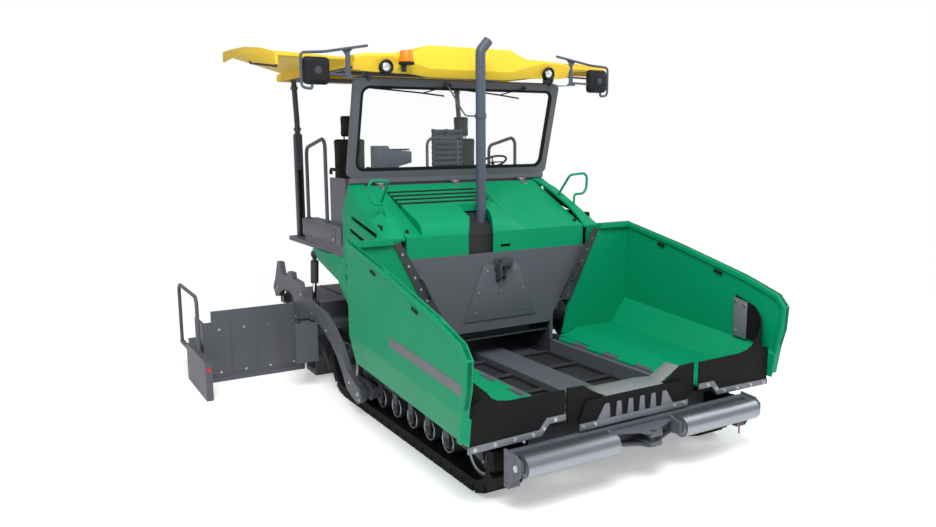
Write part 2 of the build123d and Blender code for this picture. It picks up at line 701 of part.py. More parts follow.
# ---------------------------------------------------------------- operator's platform
with BuildPart() as platform:
    block((DECK_REAR_X, DECK_FRONT_X - 40), (0, COWL_OUTER_Y - COWL_SKIN), (DECK_BEAM_Z, DECK_TOP_Z))
    block((DECK_FRONT_X - 40, -205), (0, 1190), (DECK_BEAM_Z, DECK_TOP_Z))
    block((-1450, DECK_FRONT_X - 40), (1100, COWL_OUTER_Y), (1615, 1805))
    block((-1450, DECK_FRONT_X - 40), (1120, COWL_OUTER_Y - 30), (DECK_TOP_Z, 1615))
    block((-686, -264), (1190, 1215), (1805, 2295))
    mirror(about=Plane.XZ)
    block((-245, -205), (-1190, 1190), (DECK_TOP_Z, 2299.7))
    block((-245, -180), (-1190, 1190), (2250, 2299.7))
    # outer knuckles and pins of the hood's hinges
    near = HOOD_HINGE_LENGTH / 2 + RUN_GAP
    far = near + 20
    for y in HOOD_HINGE_Y:
        for low, high in ((y - far, y - near), (y + near, y + far)):
            rod((HOOD_HINGE_X, low, HOOD_HINGE_Z), (HOOD_HINGE_X, high, HOOD_HINGE_Z), HOOD_HINGE_RADIUS)
            block((-190, HOOD_HINGE_X), (low, high), (HOOD_HINGE_Z, 2265))
        rod((HOOD_HINGE_X, y - far, HOOD_HINGE_Z), (HOOD_HINGE_X, y + far, HOOD_HINGE_Z), HOOD_PIN_RADIUS)
write_part(platform, "platform")

# ---------------------------------------------------------------- windscreen, roof and stack
screen_plane = Plane(
    origin=(SCREEN_FOOT_X, 0, SCREEN_FOOT_Z),
    x_dir=(0, 1, 0),
    z_dir=(cos(radians(SCREEN_LEAN)), 0, -sin(radians(SCREEN_LEAN))),
)
SCREEN_BORDER = 80
with BuildPart() as canopy:
    with BuildSketch(screen_plane):
        with Locations((0, SCREEN_HEIGHT / 2)):
            RectangleRounded(2 * SCREEN_HALF_WIDTH, SCREEN_HEIGHT, 60)
            RectangleRounded(
                2 * (SCREEN_HALF_WIDTH - SCREEN_BORDER),
                SCREEN_HEIGHT - 2 * SCREEN_BORDER,
                90,
                mode=Mode.SUBTRACT,
            )
    extrude(amount=-SCREEN_DEPTH)
    for y in (-1075, 1075):
        block((10, 70), (y - 35, y + 35), (3240, 3430))
write_part(canopy, "windscreen_frame")

with BuildPart() as glass:
    with BuildSketch(screen_plane.offset(-SCREEN_DEPTH / 2)):
        with Locations((0, SCREEN_HEIGHT / 2)):
            RectangleRounded(
                2 * (SCREEN_HALF_WIDTH - SCREEN_BORDER - SEAT_GAP),
                SCREEN_HEIGHT - 2 * (SCREEN_BORDER + SEAT_GAP),
                90 - SEAT_GAP,
            )
    extrude(amount=GLASS_THICKNESS)
write_part(glass, "windscreen_glass")

with BuildPart() as posts:
    for y in (-POST_Y, POST_Y):
        block(
            (POST_X - POST_SIZE / 2, POST_X + POST_SIZE / 2),
            (y - POST_SIZE / 2, y + POST_SIZE / 2),
            (DECK_TOP_Z, ROOF_UNDERSIDE_Z),
        )
write_part(posts, "roof_posts")

ROOF_SECTION = [  # y, z of the left half: over the top, then back along the underside
    (0, 3600),
    (520, 3600),
    (620, 3520),
    (1034, 3505),
    (ROOF_HALF_WIDTH, 3470),
    (ROOF_HALF_WIDTH, 3390),
    (1223, 3390),
    (1223, ROOF_UNDERSIDE_Z),
    (1000, ROOF_UNDERSIDE_Z),
    (600, 3470),
    (500, 3560),
    (0, 3560),
]
with BuildPart() as roof:
    panel(ROOF_SECTION, front_plane(ROOF_REAR_X), ROOF_FRONT_X - ROOF_REAR_X)
    block((ROOF_FRONT_X, ROOF_FRONT_X + 30), (0, ROOF_HALF_WIDTH), (ROOF_EDGE_Z, 3500))
    block((ROOF_FRONT_X, ROOF_FRONT_X + 30), (0, 520), (3290, 3600))
    mirror(about=Plane.XZ)
write_part(roof, "roof")

with BuildPart() as awnings:
    panel(
        [(ROOF_HALF_WIDTH, 3420), (AWNING_OUTER_Y, 3555), (AWNING_OUTER_Y, 3590), (ROOF_HALF_WIDTH, 3455)],
        front_plane(-2005),
        1888,
    )
    block((-2005, -117), (AWNING_OUTER_Y - 20, AWNING_OUTER_Y), (3455, 3560))
    mirror(about=Plane.XZ)
write_part(awnings, "side_awnings")

with BuildPart() as stack:
    pipe(
        [
            (STACK_X, STACK_Y, ENGINE_TOP_Z),
            (STACK_X, STACK_Y, STACK_TOP_Z - 60),
            (STACK_X, STACK_Y + 90, STACK_TOP_Z + 40),
        ],
        STACK_RADIUS,
        70,
    )
write_part(stack, "exhaust_stack")

with BuildPart() as lamps:
    for y in (-954, 954):
        block((ROOF_FRONT_X + 30, ROOF_FRONT_X + 120), (y - 85, y + 85), (3355, 3450))
    with Locations((ROOF_FRONT_X + 90, -740, 3400)):
        Cylinder(50, 150)
    block((ROOF_FRONT_X + 30, ROOF_FRONT_X + 140), (-790, -690), (3300, 3325))
    block((ROOF_FRONT_X + 30, ROOF_FRONT_X + 38), (-790, -690), (3300, 3420))
write_part(lamps, "lamps")

with BuildPart() as mirror_boxes:
    block((180, 260), (1534, 1748), (3205, 3425))
    rod((200, 1641, 3425), (200, 1641, 3500), 18)
    rod((200, 1659, 3485), (200, ROOF_HALF_WIDTH - 60, 3485), 18)
    block((ROOF_FRONT_X + 30, 220), (ROOF_HALF_WIDTH - 120, ROOF_HALF_WIDTH - 50), (3460, 3500))
    mirror(about=Plane.XZ)
write_part(mirror_boxes, "mirror_boxes")

# ---------------------------------------------------------------- operator's stations
SEAT_X = -1000
SEAT_Y = 740
with BuildPart() as consoles:
    for y in (-SEAT_Y, SEAT_Y):
        block((SEAT_X - 180, SEAT_X + 180), (y - 180, y + 180), (DECK_TOP_Z, 2080))
    block((-900, -620), (-300, 300), (DECK_TOP_Z, 2520))
write_part(consoles, "operator_consoles")

with BuildPart() as seats:
    for y in (-SEAT_Y, SEAT_Y):
        block((SEAT_X - 240, SEAT_X + 240), (y - 240, y + 240), (2080, 2200))
        block((SEAT_X - 330, SEAT_X - 240), (y - 200, y + 200), (2100, 2715))
        block((SEAT_X - 320, SEAT_X - 260), (y - 110, y + 110), (2715, 2965))
write_part(seats, "seat_cushions")

RAIL_RADIUS = 20
with BuildPart() as rails:
    pipe(
        [(-1400, 1215, 1805), (-1400, 1215, 2600), (-800, 1215, 2713), (-800, 1215, 1805)],
        RAIL_RADIUS,
        90,
    )
    mirror(about=Plane.XZ)
write_part(rails, "grab_rails")

# ---------------------------------------------------------------- push rollers
PUSH_BRACKET = 30
with BuildPart() as push_bar:
    outer = PUSH_ROLLER_OUTER_Y + RUN_GAP
    block((PUSH_BAR_X, PUSH_BAR_X + PUSH_BAR_DEPTH), (0, outer + PUSH_BRACKET), (305, 460))
    for y in (PUSH_ROLLER_INNER_Y - RUN_GAP - PUSH_BRACKET, outer):
        panel(
            [
                (PUSH_BAR_X + PUSH_BAR_DEPTH, 310),
                (PUSH_ROLLER_X + 30, PUSH_ROLLER_Z - 45),
                (PUSH_ROLLER_X + 30, PUSH_ROLLER_Z + 45),
                (PUSH_BAR_X + PUSH_BAR_DEPTH, 455),
            ],
            side_plane(y + PUSH_BRACKET),
            PUSH_BRACKET,
        )
    # pivot lugs above and below the chassis nose
    block((PUSH_PIVOT_X - 55, PUSH_BAR_X), (0, 110), (305, 335))
    block((PUSH_PIVOT_X - 55, PUSH_BAR_X), (0, 110), (430, 460))
    # towing eye
    for z in (330, 400):
        block((PUSH_BAR_X + PUSH_BAR_DEPTH, 3000), (0, 60), (z, z + TOW_PLATE))
    mirror(about=Plane.XZ)
    with Locations((PUSH_PIVOT_X, 0, 380)):
        Cylinder(PUSH_PIVOT_RADIUS + SEAT_GAP, 200, mode=Mode.SUBTRACT)
    with Locations((TOW_EYE_X, 0, 380)):
        Cylinder(TOW_EYE_RADIUS, 200, mode=Mode.SUBTRACT)
    for y in (-1, 1):
        rod(
            (PUSH_ROLLER_X, y * (PUSH_ROLLER_INNER_Y - 10), PUSH_ROLLER_Z),
            (PUSH_ROLLER_X, y * (PUSH_ROLLER_OUTER_Y + 10), PUSH_ROLLER_Z),
            PUSH_AXLE_RADIUS,
        )
write_part(push_bar, "push_roller_bar")

with BuildPart() as push_roller:
    rod(
        (PUSH_ROLLER_X, PUSH_ROLLER_INNER_Y, PUSH_ROLLER_Z),
        (PUSH_ROLLER_X, PUSH_ROLLER_OUTER_Y, PUSH_ROLLER_Z),
        PUSH_ROLLER_RADIUS,
    )
    rod(
        (PUSH_ROLLER_X, PUSH_ROLLER_INNER_Y - 1, PUSH_ROLLER_Z),
        (PUSH_ROLLER_X, PUSH_ROLLER_OUTER_Y + 1, PUSH_ROLLER_Z),
        PUSH_AXLE_RADIUS + SEAT_GAP,
        mode=Mode.SUBTRACT,
    )
write_pair(push_roller, "push_roller")

# ---------------------------------------------------------------- augers
with BuildPart() as auger:
    rod((AUGER_X, AUGER_INNER_Y, AUGER_Z), (AUGER_X, AUGER_OUTER_Y, AUGER_Z), AUGER_SHAFT_RADIUS)
    turns = (AUGER_OUTER_Y - AUGER_INNER_Y - 2 * FLIGHT_THICKNESS) / AUGER_PITCH
    steps = round(turns * FLIGHT_STEPS)
    for step in range(steps + 1):
        angle = 360 * step / FLIGHT_STEPS
        y = AUGER_INNER_Y + FLIGHT_THICKNESS + step * AUGER_PITCH / FLIGHT_STEPS
        section = Plane(
            origin=(AUGER_X, y, AUGER_Z),
            x_dir=(cos(radians(angle)), 0, sin(radians(angle))),
            z_dir=(-sin(radians(angle)), 0, cos(radians(angle))),
        )
        with BuildSketch(section):
            with Locations(((AUGER_SHAFT_RADIUS + AUGER_RADIUS) / 2 - 4, 0)):
                Rectangle(AUGER_RADIUS - AUGER_SHAFT_RADIUS + 8, FLIGHT_THICKNESS)
    loft(ruled=True)
    for y, end in ((AUGER_INNER_Y, 1), (AUGER_OUTER_Y, -1)):
        rod(
            (AUGER_X, y - end, AUGER_Z),
            (AUGER_X, y + end * AUGER_BEARING_DEPTH, AUGER_Z),
            AUGER_BEARING_RADIUS + SEAT_GAP,
            mode=Mode.SUBTRACT,
        )
write_pair(auger, "auger")

AUGER_HANGER = 30
TUNNEL_PLATE_X = (-729, -709)
TUNNEL_PLATE_Y = (1402, 1646)
TUNNEL_PLATE_Z = (314, 745)
with BuildPart() as auger_frame:
    beam_z = (AUGER_BEAM_TOP_Z - AUGER_BEAM_HEIGHT, AUGER_BEAM_TOP_Z)
    hanger_x = (AUGER_X - 30, AUGER_X + 30)
    outer = AUGER_OUTER_Y + RUN_GAP
    block((-1040, -800), (0, outer), beam_z)
    block(hanger_x, (0, AUGER_INNER_Y - RUN_GAP), (AUGER_Z - 90, beam_z[0]))
    block(hanger_x, (outer, outer + AUGER_HANGER), (AUGER_Z - 90, beam_z[1]))
    rod((AUGER_X, 0, AUGER_Z), (AUGER_X, AUGER_INNER_Y + AUGER_BEARING_DEPTH - 4, AUGER_Z), AUGER_BEARING_RADIUS)
    rod(
        (AUGER_X, AUGER_OUTER_Y - AUGER_BEARING_DEPTH + 4, AUGER_Z),
        (AUGER_X, outer + AUGER_HANGER, AUGER_Z),
        AUGER_BEARING_RADIUS,
    )
    # plates that keep the material in front of the screed
    block((hanger_x[1], TUNNEL_PLATE_X[0]), (outer, outer + AUGER_HANGER), beam_z)
    block(TUNNEL_PLATE_X, TUNNEL_PLATE_Y, TUNNEL_PLATE_Z)
    mirror(about=Plane.XZ)
write_part(auger_frame, "auger_frame")

# ---------------------------------------------------------------- screed
ARM_SIDE = [  # x, z of the tow arm, from its foot up the front edge and back along the lower edge
    (346, 133),
    (455, 200),
    (440, 300),
    (330, 320),
    (105, 407),
    (-110, 635),
    (-315, 767),
    (-531, 861),
    (-884, 908),
    (-1134, 937),
    (-1236, 993),
    (-1291, 1088),
    (-1545, 1097),
    (-1560, 1160),
    (-1700, 1160),
    (-1760, 1090),
    (-1952, 1104),
    (-2000, 1230),
    (-2110, 1230),
    (-2223, 1009),
    (-2322, 880),
    (-2232, 773),
    (-2098, 796),
    (-2037, 862),
    (-1853, 920),
    (-1681, 928),
    (-1567, 893),
    (-1508, 812),
    (-1508, 400),
    (-1437, 400),
    (-1437, 635),
    (-1030, 722),
    (-740, 736),
    (-511, 671),
    (-331, 585),
    (-160, 475),
    (-30, 346),
    (64, 224),
    (200, 170),
]
with BuildPart() as arms:
    panel(ARM_SIDE, side_plane(ARM_INNER_Y + ARM_THICKNESS), ARM_THICKNESS)
    rod(
        (TOW_PIVOT_X, ARM_INNER_Y - 1, TOW_PIVOT_Z),
        (TOW_PIVOT_X, ARM_INNER_Y + ARM_THICKNESS + 1, TOW_PIVOT_Z),
        TOW_PIVOT_RADIUS + SEAT_GAP,
        mode=Mode.SUBTRACT,
    )
    # lug for the lift cylinder
    eye_x, eye_z = LIFT_CYLINDER_EYE
    block((eye_x - 45, eye_x + 45), (LIFT_CYLINDER_Y + 42, ARM_INNER_Y), (eye_z - 45, eye_z + 45))
    rod((eye_x, LIFT_CYLINDER_Y - 30, eye_z), (eye_x, LIFT_CYLINDER_Y + 50, eye_z), LIFT_CYLINDER_PIN)
    mirror(about=Plane.XZ)
write_part(arms, "tow_arms")

BRIDGE = 20  # plate over the extensions' lane
eye_room_x = LIFT_CYLINDER_EYE[0] - 110
with BuildPart() as screed:
    # front box: screed plate, walls and cover, open at its ends
    block((SCREED_REAR_X, SCREED_FRONT_X), (0, SCREED_HALF_WIDTH), (0, SCREED_TOP_Z))
    block(
        (SCREED_REAR_X + SCREED_WALL, SCREED_FRONT_X - SCREED_WALL),
        (-1, SCREED_HALF_WIDTH + 1),
        (60, SCREED_TOP_Z - BRIDGE),
        mode=Mode.SUBTRACT,
    )
    # room for the lift cylinder's eye
    block((eye_room_x, SCREED_FRONT_X + 1), (1190, SCREED_HALF_WIDTH + 1), (760, SCREED_TOP_Z + 1), mode=Mode.SUBTRACT)
    # cover over the extensions' lane and the beam behind it
    rear_low, rear_high = SCREED_REAR_BEAM
    block((rear_low, SCREED_REAR_X), (0, SCREED_HALF_WIDTH), (SCREED_TOP_Z - BRIDGE, SCREED_TOP_Z))
    block((rear_low, rear_high), (0, SCREED_HALF_WIDTH), (600, SCREED_TOP_Z - BRIDGE))
    # brackets that carry the screed on the arms
    block((-1508, -1437), (SCREED_HALF_WIDTH, ARM_INNER_Y), (400, 800))
    block((rear_low, -2100), (SCREED_HALF_WIDTH, ARM_INNER_Y), (700, 800))
    # walkway with its hangers
    block((WALKWAY_REAR_X, rear_low), (0, 1200), (WALKWAY_Z, WALKWAY_Z + 40))
    for y in (100, 1100):
        block((rear_low, rear_low + 30), (y, y + 60), (WALKWAY_Z, 600))
    mirror(about=Plane.XZ)
    # telescopic guides of the extensions
    for side, z in ((1, TELESCOPE_LEFT_Z), (-1, TELESCOPE_RIGHT_Z)):
        inner, outer = GUIDE_INNER_Y, SCREED_HALF_WIDTH
        for y in (inner + 15, outer - 15):
            low, high = sorted((side * (y - 15), side * (y + 15)))
            block((TELESCOPE_X - 70, TELESCOPE_X + 70), (low, high), (z, SCREED_TOP_Z - BRIDGE))
        rod((TELESCOPE_X, side * inner, z), (TELESCOPE_X, side * outer, z), TELESCOPE_RADIUS)
        rod(
            (TELESCOPE_X, side * (inner - 1), z),
            (TELESCOPE_X, side * (outer + 1), z),
            TELESCOPE_ROD_RADIUS + SEAT_GAP,
            mode=Mode.SUBTRACT,
        )
write_part(screed, "main_screed")

EXTENSION_PROFILE = [  # x, z of the shell's section: screed plate, front wall, rear wall
    (EXTENSION_REAR_X, 0),
    (EXTENSION_FRONT_X, 0),
    (EXTENSION_FRONT_X, EXTENSION_STEP_Z),
    (EXTENSION_FRONT_X - EXTENSION_WALL, EXTENSION_STEP_Z),
    (EXTENSION_FRONT_X - EXTENSION_WALL, 60),
    (EXTENSION_REAR_X + EXTENSION_WALL, 60),
    (EXTENSION_REAR_X + EXTENSION_WALL, 560),
    (EXTENSION_REAR_X, 560),
]
for side, name, z in ((1, "left", TELESCOPE_LEFT_Z), (-1, "right", TELESCOPE_RIGHT_Z)):
    with BuildPart() as extension:
        panel(EXTENSION_PROFILE, side_plane(EXTENSION_OUTER_Y), EXTENSION_OUTER_Y - EXTENSION_INNER_Y)
        block(
            (EXTENSION_FRONT_X - EXTENSION_WALL, EXTENSION_FRONT_X),
            (EXTENSION_INNER_Y + 70, EXTENSION_STEP_Y),
            (EXTENSION_STEP_Z, EXTENSION_TOP_Z),
        )
        block(
            (EXTENSION_REAR_X, EXTENSION_FRONT_X),
            (EXTENSION_OUTER_Y - EXTENSION_WALL, EXTENSION_OUTER_Y),
            (60, EXTENSION_STEP_Z),
        )
        block(
            (EXTENSION_STEP_REAR_X, EXTENSION_REAR_X),
            (EXTENSION_INNER_Y, EXTENSION_OUTER_Y),
            (300, 340),
        )
        if side < 0:
            mirror(about=Plane.XZ, mode=Mode.REPLACE)
        rod(
            (TELESCOPE_X, side * ROD_INNER_Y, z),
            (TELESCOPE_X, side * (EXTENSION_OUTER_Y - 10), z),
            TELESCOPE_ROD_RADIUS,
        )
    write_part(extension, f"screed_extension_{name}")

with BuildPart() as end_plate:
    block(
        (END_PLATE_REAR_X, END_PLATE_FRONT_X),
        (END_PLATE_INNER_Y, END_PLATE_OUTER_Y),
        (0, END_PLATE_TOP_Z),
    )
    for x in (EXTENSION_REAR_X + 60, EXTENSION_FRONT_X - 120):
        block((x, x + 60), (EXTENSION_OUTER_Y, END_PLATE_INNER_Y), (100, 380))
    pipe(
        [
            (-1380, 2515, END_PLATE_TOP_Z - 40),
            (-1380, 2515, 1020),
            (-2350, 2515, 1020),
            (-2350, 2515, 340),
        ],
        RAIL_RADIUS,
        90,
    )
    block((-2400, END_PLATE_REAR_X), (END_PLATE_INNER_Y, 2530), (300, 340))
write_pair(end_plate, "end_plate")

# ---------------------------------------------------------------- tow points
with BuildPart() as tow_points:
    inner = TRACK_MIDDLE_Y + WHEEL_WIDTH / 2 + SEAT_GAP + HANGER_THICKNESS
    block((0, 480), (inner, 1290), (205, 305))
    block((TOW_PIVOT_X - 60, TOW_PIVOT_X + 60), (1275, 1290), (180, 330))
    rod((TOW_PIVOT_X, 1280, TOW_PIVOT_Z), (TOW_PIVOT_X, ARM_INNER_Y + ARM_THICKNESS + 6, TOW_PIVOT_Z), TOW_PIVOT_RADIUS)
    mirror(about=Plane.XZ)
write_part(tow_points, "tow_points")

# ---------------------------------------------------------------- cylinders
foot = (WING_CYLINDER_X, *WING_CYLINDER_FOOT)
eye = (WING_CYLINDER_X, *WING_CYLINDER_EYE)
with BuildPart() as wing_barrel:
    ram_barrel(foot, eye, (1, 0, 0), WING_BARREL_LENGTH, WING_BARREL_RADIUS, WING_ROD_RADIUS, WING_CYLINDER_PIN)
write_pair(wing_barrel, "wing_barrel")
with BuildPart() as wing_rod:
    ram_rod(foot, eye, (1, 0, 0), WING_ROD_LENGTH, WING_ROD_RADIUS, WING_CYLINDER_PIN)
write_pair(wing_rod, "wing_rod")

top_x, top_z = LIFT_CYLINDER_TOP
eye_x, eye_z = LIFT_CYLINDER_EYE
foot = (top_x, LIFT_CYLINDER_Y, top_z)
eye = (eye_x, LIFT_CYLINDER_Y, eye_z)
with BuildPart() as lift_barrel:
    ram_barrel(foot, eye, (0, 1, 0), LIFT_BARREL_LENGTH, LIFT_BARREL_RADIUS, LIFT_ROD_RADIUS, LIFT_CYLINDER_PIN)
write_pair(lift_barrel, "lift_barrel")
with BuildPart() as lift_rod:
    ram_rod(foot, eye, (0, 1, 0), LIFT_ROD_LENGTH, LIFT_ROD_RADIUS, LIFT_CYLINDER_PIN)
write_pair(lift_rod, "lift_rod")
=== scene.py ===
"""Looks of a tracked asphalt paver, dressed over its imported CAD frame."""

import logging
import math
from collections.abc import Iterable, Iterator
from dataclasses import dataclass
from enum import Enum

import bmesh
import bpy
from mathutils import Matrix, Vector


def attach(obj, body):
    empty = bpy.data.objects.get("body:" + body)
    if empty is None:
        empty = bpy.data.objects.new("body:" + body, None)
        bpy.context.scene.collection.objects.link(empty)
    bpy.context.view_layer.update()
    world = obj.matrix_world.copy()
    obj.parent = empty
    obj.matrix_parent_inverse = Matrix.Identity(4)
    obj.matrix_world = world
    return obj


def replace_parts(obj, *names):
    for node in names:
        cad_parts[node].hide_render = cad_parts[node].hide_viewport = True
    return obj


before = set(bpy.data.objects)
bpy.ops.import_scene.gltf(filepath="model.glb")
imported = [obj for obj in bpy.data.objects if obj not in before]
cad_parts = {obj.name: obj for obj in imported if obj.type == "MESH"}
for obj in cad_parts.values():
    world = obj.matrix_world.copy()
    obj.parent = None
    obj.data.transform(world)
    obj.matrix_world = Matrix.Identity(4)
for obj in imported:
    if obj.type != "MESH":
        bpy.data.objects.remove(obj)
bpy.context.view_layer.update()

log = logging.getLogger("paver")
MM = 0.001
# Edges that turn less than this many radians are shaded smooth
SMOOTH_ANGLE = 0.6
SIDES = (("left", 1), ("right", -1))
FORWARDS, OUTWARDS, UPWARDS = (1, 0, 0), (0, 1, 0), (0, 0, 1)
Point = tuple[float, float, float]
Pair = tuple[float, float]


# ---------------------------------------------------------------- colour and nodes
def srgb(code: str) -> tuple[float, float, float, float]:
    """Turn an sRGB hex code into linear colour.

    Args:
        code: Six hex digits after a hash sign.

    Returns:
        Red, green, blue and alpha.
    """
    values = [int(code[place:place + 2], 16) / 255 for place in (1, 3, 5)]
    linear = [value / 12.92 if value <= 0.04045 else ((value + 0.055) / 1.055) ** 2.4 for value in values]
    return (*linear, 1.0)


WHITE = srgb("#FFFFFF")


def add_node(
    tree: bpy.types.NodeTree, kind: str, inputs: dict | None = None, **settings: object
) -> bpy.types.Node:
    """Add one node with its settings and what feeds its inputs.

    Args:
        tree: The node tree that gets the node.
        kind: The node's type name.
        inputs: Input names or numbers, each with a socket to link or a value to set.
        settings: The node's own properties.

    Returns:
        The new node.
    """
    node = tree.nodes.new(kind)
    for name, value in settings.items():
        setattr(node, name, value)
    for key, value in (inputs or {}).items():
        if isinstance(value, bpy.types.NodeSocket):
            tree.links.new(value, node.inputs[key])
        else:
            node.inputs[key].default_value = value
    return node


class Pattern(Enum):
    """How a surface's fine relief runs."""

    ORANGE_PEEL = "orange peel"
    MOULDED = "moulded grain"
    ROLLED = "rolled streaks"
    CAST = "cast grain"


@dataclass(frozen=True)
class Finish:
    """A surface finish: what the real material is and how it was made."""

    name: str
    slot: str
    colour: str
    second: str
    roughness: float
    metallic: float = 0.0
    coat: float = 0.0
    specular: float = 0.5
    relief: float = 0.05
    grain_mm: float = 12.0
    patch_mm: float = 450.0
    pattern: Pattern = Pattern.ORANGE_PEEL

    def material(self) -> bpy.types.Material:
        """Return the finish's material, made on first use."""
        known = bpy.data.materials.get(self.name)
        if known:
            return known
        made = bpy.data.materials.new(self.name)
        made.use_nodes = True
        tree = made.node_tree
        tree.nodes.clear()
        place = add_node(tree, "ShaderNodeTexCoord").outputs["Object"]
        patches = add_node(
            tree, "ShaderNodeTexNoise",
            {"Vector": place, "Scale": 1 / (self.patch_mm * MM), "Detail": 4.0, "Roughness": 0.6},
        )
        tint = add_node(
            tree, "ShaderNodeMix",
            {"Factor": patches.outputs["Fac"], "A": srgb(self.colour), "B": srgb(self.second)},
            data_type="RGBA",
        )
        grain = self.grain(tree, place)
        low, high = self.roughness * 0.85, self.roughness * 1.2
        gloss = add_node(
            tree, "ShaderNodeMapRange",
            {"Value": patches.outputs["Fac"], "To Min": low, "To Max": high},
        )
        bump = add_node(
            tree, "ShaderNodeBump",
            {"Height": grain, "Strength": self.relief, "Distance": self.grain_mm * MM * 0.2},
        )
        shader = add_node(
            tree,
            "ShaderNodeBsdfPrincipled",
            {
                "Base Color": tint.outputs["Result"], "Roughness": gloss.outputs["Result"],
                "Metallic": self.metallic, "Coat Weight": self.coat, "Specular IOR Level": self.specular,
                "Coat Roughness": 0.15, "Normal": bump.outputs["Normal"],
            },
        )
        add_node(tree, "ShaderNodeOutputMaterial", {"Surface": shader.outputs["BSDF"]})
        return made

    def grain(self, tree: bpy.types.NodeTree, place: bpy.types.NodeSocket) -> bpy.types.NodeSocket:
        """Add the fine relief.

        Args:
            tree: The material's node tree.
            place: The object coordinates.

        Returns:
            The relief's height.
        """
        stretch = (0.15, 1.0, 1.0) if self.pattern is Pattern.ROLLED else (1.0, 1.0, 1.0)
        turned = add_node(tree, "ShaderNodeMapping", {"Vector": place, "Scale": stretch})
        scale = 1 / (self.grain_mm * MM)
        if self.pattern is Pattern.MOULDED:
            cells = add_node(tree, "ShaderNodeTexVoronoi", {"Vector": turned.outputs[0], "Scale": scale})
            return cells.outputs["Distance"]
        inputs = {"Vector": turned.outputs[0], "Scale": scale, "Detail": 3.0}
        return add_node(tree, "ShaderNodeTexNoise", inputs).outputs["Fac"]


# Two-coat machine enamel, sprayed: an even satin skin with faint orange peel
GREEN = Finish("green_enamel", "green_paint", "#009668", "#008B5E", 0.5, coat=0.02, specular=0.18)
# Glass-fibre moulding, coloured in the mould: smooth, warm and barely glossy
YELLOW = Finish("yellow_moulding", "yellow_paint", "#F6D03A", "#E9C232", 0.5, coat=0.03, specular=0.25)
# Powder-coated plate: even satin greys with a fine texture
COATED = {"relief": 0.08, "grain_mm": 6}
GREY = Finish("grey_powder_coat", "dark_paint", "#5A5C64", "#54565E", 0.5, **COATED)
DARK = Finish("dark_powder_coat", "dark_paint", "#3A3C42", "#34363B", 0.55, **COATED)
BLUE_GREY = Finish("blue_grey_coat", "dark_paint", "#4A5262", "#454C5B", 0.5, **COATED)
LIGHT_GREY = Finish("light_grey_coat", "dark_paint", "#74767E", "#6E7078", 0.45, **COATED)
# Self-adhesive film, printed grey: flat and even
STRIPE = Finish("grey_film", "dark_paint", "#66686E", "#62646A", 0.5)
# Turned steel, worn bright by the lorries' tyres: streaks round the roller
STEEL = Finish(
    "turned_steel", "steel", "#9EA2A8", "#8C9096", 0.38, metallic=0.9, grain_mm=8, pattern=Pattern.ROLLED
)
# Rolled wear plate, bare and scuffed to a dull silver
WEAR_PLATE = Finish(
    "rolled_wear_plate", "steel", "#A4A7AC", "#93969B", 0.42,
    metallic=0.6, grain_mm=10, pattern=Pattern.ROLLED,
)
# Zinc-plated fasteners: bright but not mirror-like
ZINC = Finish("zinc_plated_bolt", "steel", "#B9BCC0", "#A9ACB0", 0.3, metallic=0.9, grain_mm=6)
# Hard-chromed and ground rod: a clean mirror
CHROME = Finish("chromed_rod", "rod_chrome", "#D8DADD", "#CFD1D4", 0.12, metallic=1.0, relief=0.01)
# Cast steel, oiled and dusty: dark with a sandy skin
CAST = Finish(
    "cast_steel", "cast", "#2E2F31", "#3A3B3D", 0.65,
    metallic=0.4, relief=0.25, grain_mm=10, pattern=Pattern.CAST,
)
# Moulded rubber: near black and matt
RUBBER = Finish(
    "moulded_rubber", "rubber", "#111111", "#161616", 0.75, specular=0.2, relief=0.12, grain_mm=5
)
# Injection-moulded ABS: charcoal with a fine leather grain, drawn coarse enough to show
GRAINED = {"relief": 0.2, "grain_mm": 3, "pattern": Pattern.MOULDED}
PLASTIC = Finish("grained_plastic", "grey_plastic", "#17181A", "#1C1D1F", 0.65, specular=0.25, **GRAINED)
# Seat vinyl over foam, embossed: black and soft
VINYL = Finish(
    "seat_vinyl", "seat_cover", "#101112", "#161718", 0.6, relief=0.25, grain_mm=4, pattern=Pattern.MOULDED
)
# Moulded polycarbonate lenses: deep clear colour under a glossy skin
AMBER = Finish("amber_lens", "glass", "#F08A12", "#E8800C", 0.35, coat=0.1, specular=0.3)
RED = Finish("red_reflector", "glass", "#C8201C", "#B81A16", 0.3, coat=0.5)
LENS = Finish("lamp_lens", "glass", "#E8EAEC", "#D8DADC", 0.1, metallic=0.6, coat=1.0)
# Silvered float glass: reflects like a mirror, a shade darker than the sky
MIRROR = Finish("silvered_mirror", "glass", "#8FA3A8", "#8FA3A8", 0.05, metallic=1.0, relief=0.0)


@dataclass(frozen=True)
class Pane:
    """Clear safety glass, rolled flat: a faint grey-green sheet with sharp reflections."""

    name: str = "clear_safety_glass"
    slot: str = "glass"
    colour: str = "#DDE6E4"
    cover: float = 0.035

    def material(self) -> bpy.types.Material:
        """Return the glass material, made on first use."""
        known = bpy.data.materials.get(self.name)
        if known:
            return known
        made = bpy.data.materials.new(self.name)
        made.use_nodes = True
        made.surface_render_method = "BLENDED"
        tree = made.node_tree
        tree.nodes.clear()
        shader = add_node(
            tree, "ShaderNodeBsdfPrincipled",
            {"Base Color": srgb(self.colour), "Roughness": 0.03, "Alpha": self.cover},
        )
        add_node(tree, "ShaderNodeOutputMaterial", {"Surface": shader.outputs["BSDF"]})
        return made


GLASS = Pane()


def dress(name: str, finish: Finish | Pane) -> None:
    """Give a CAD node its finish.

    Args:
        name: The node's name.
        finish: The finish that it gets.
    """
    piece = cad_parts[name]
    piece.data.materials.clear()
    piece.data.materials.append(finish.material())


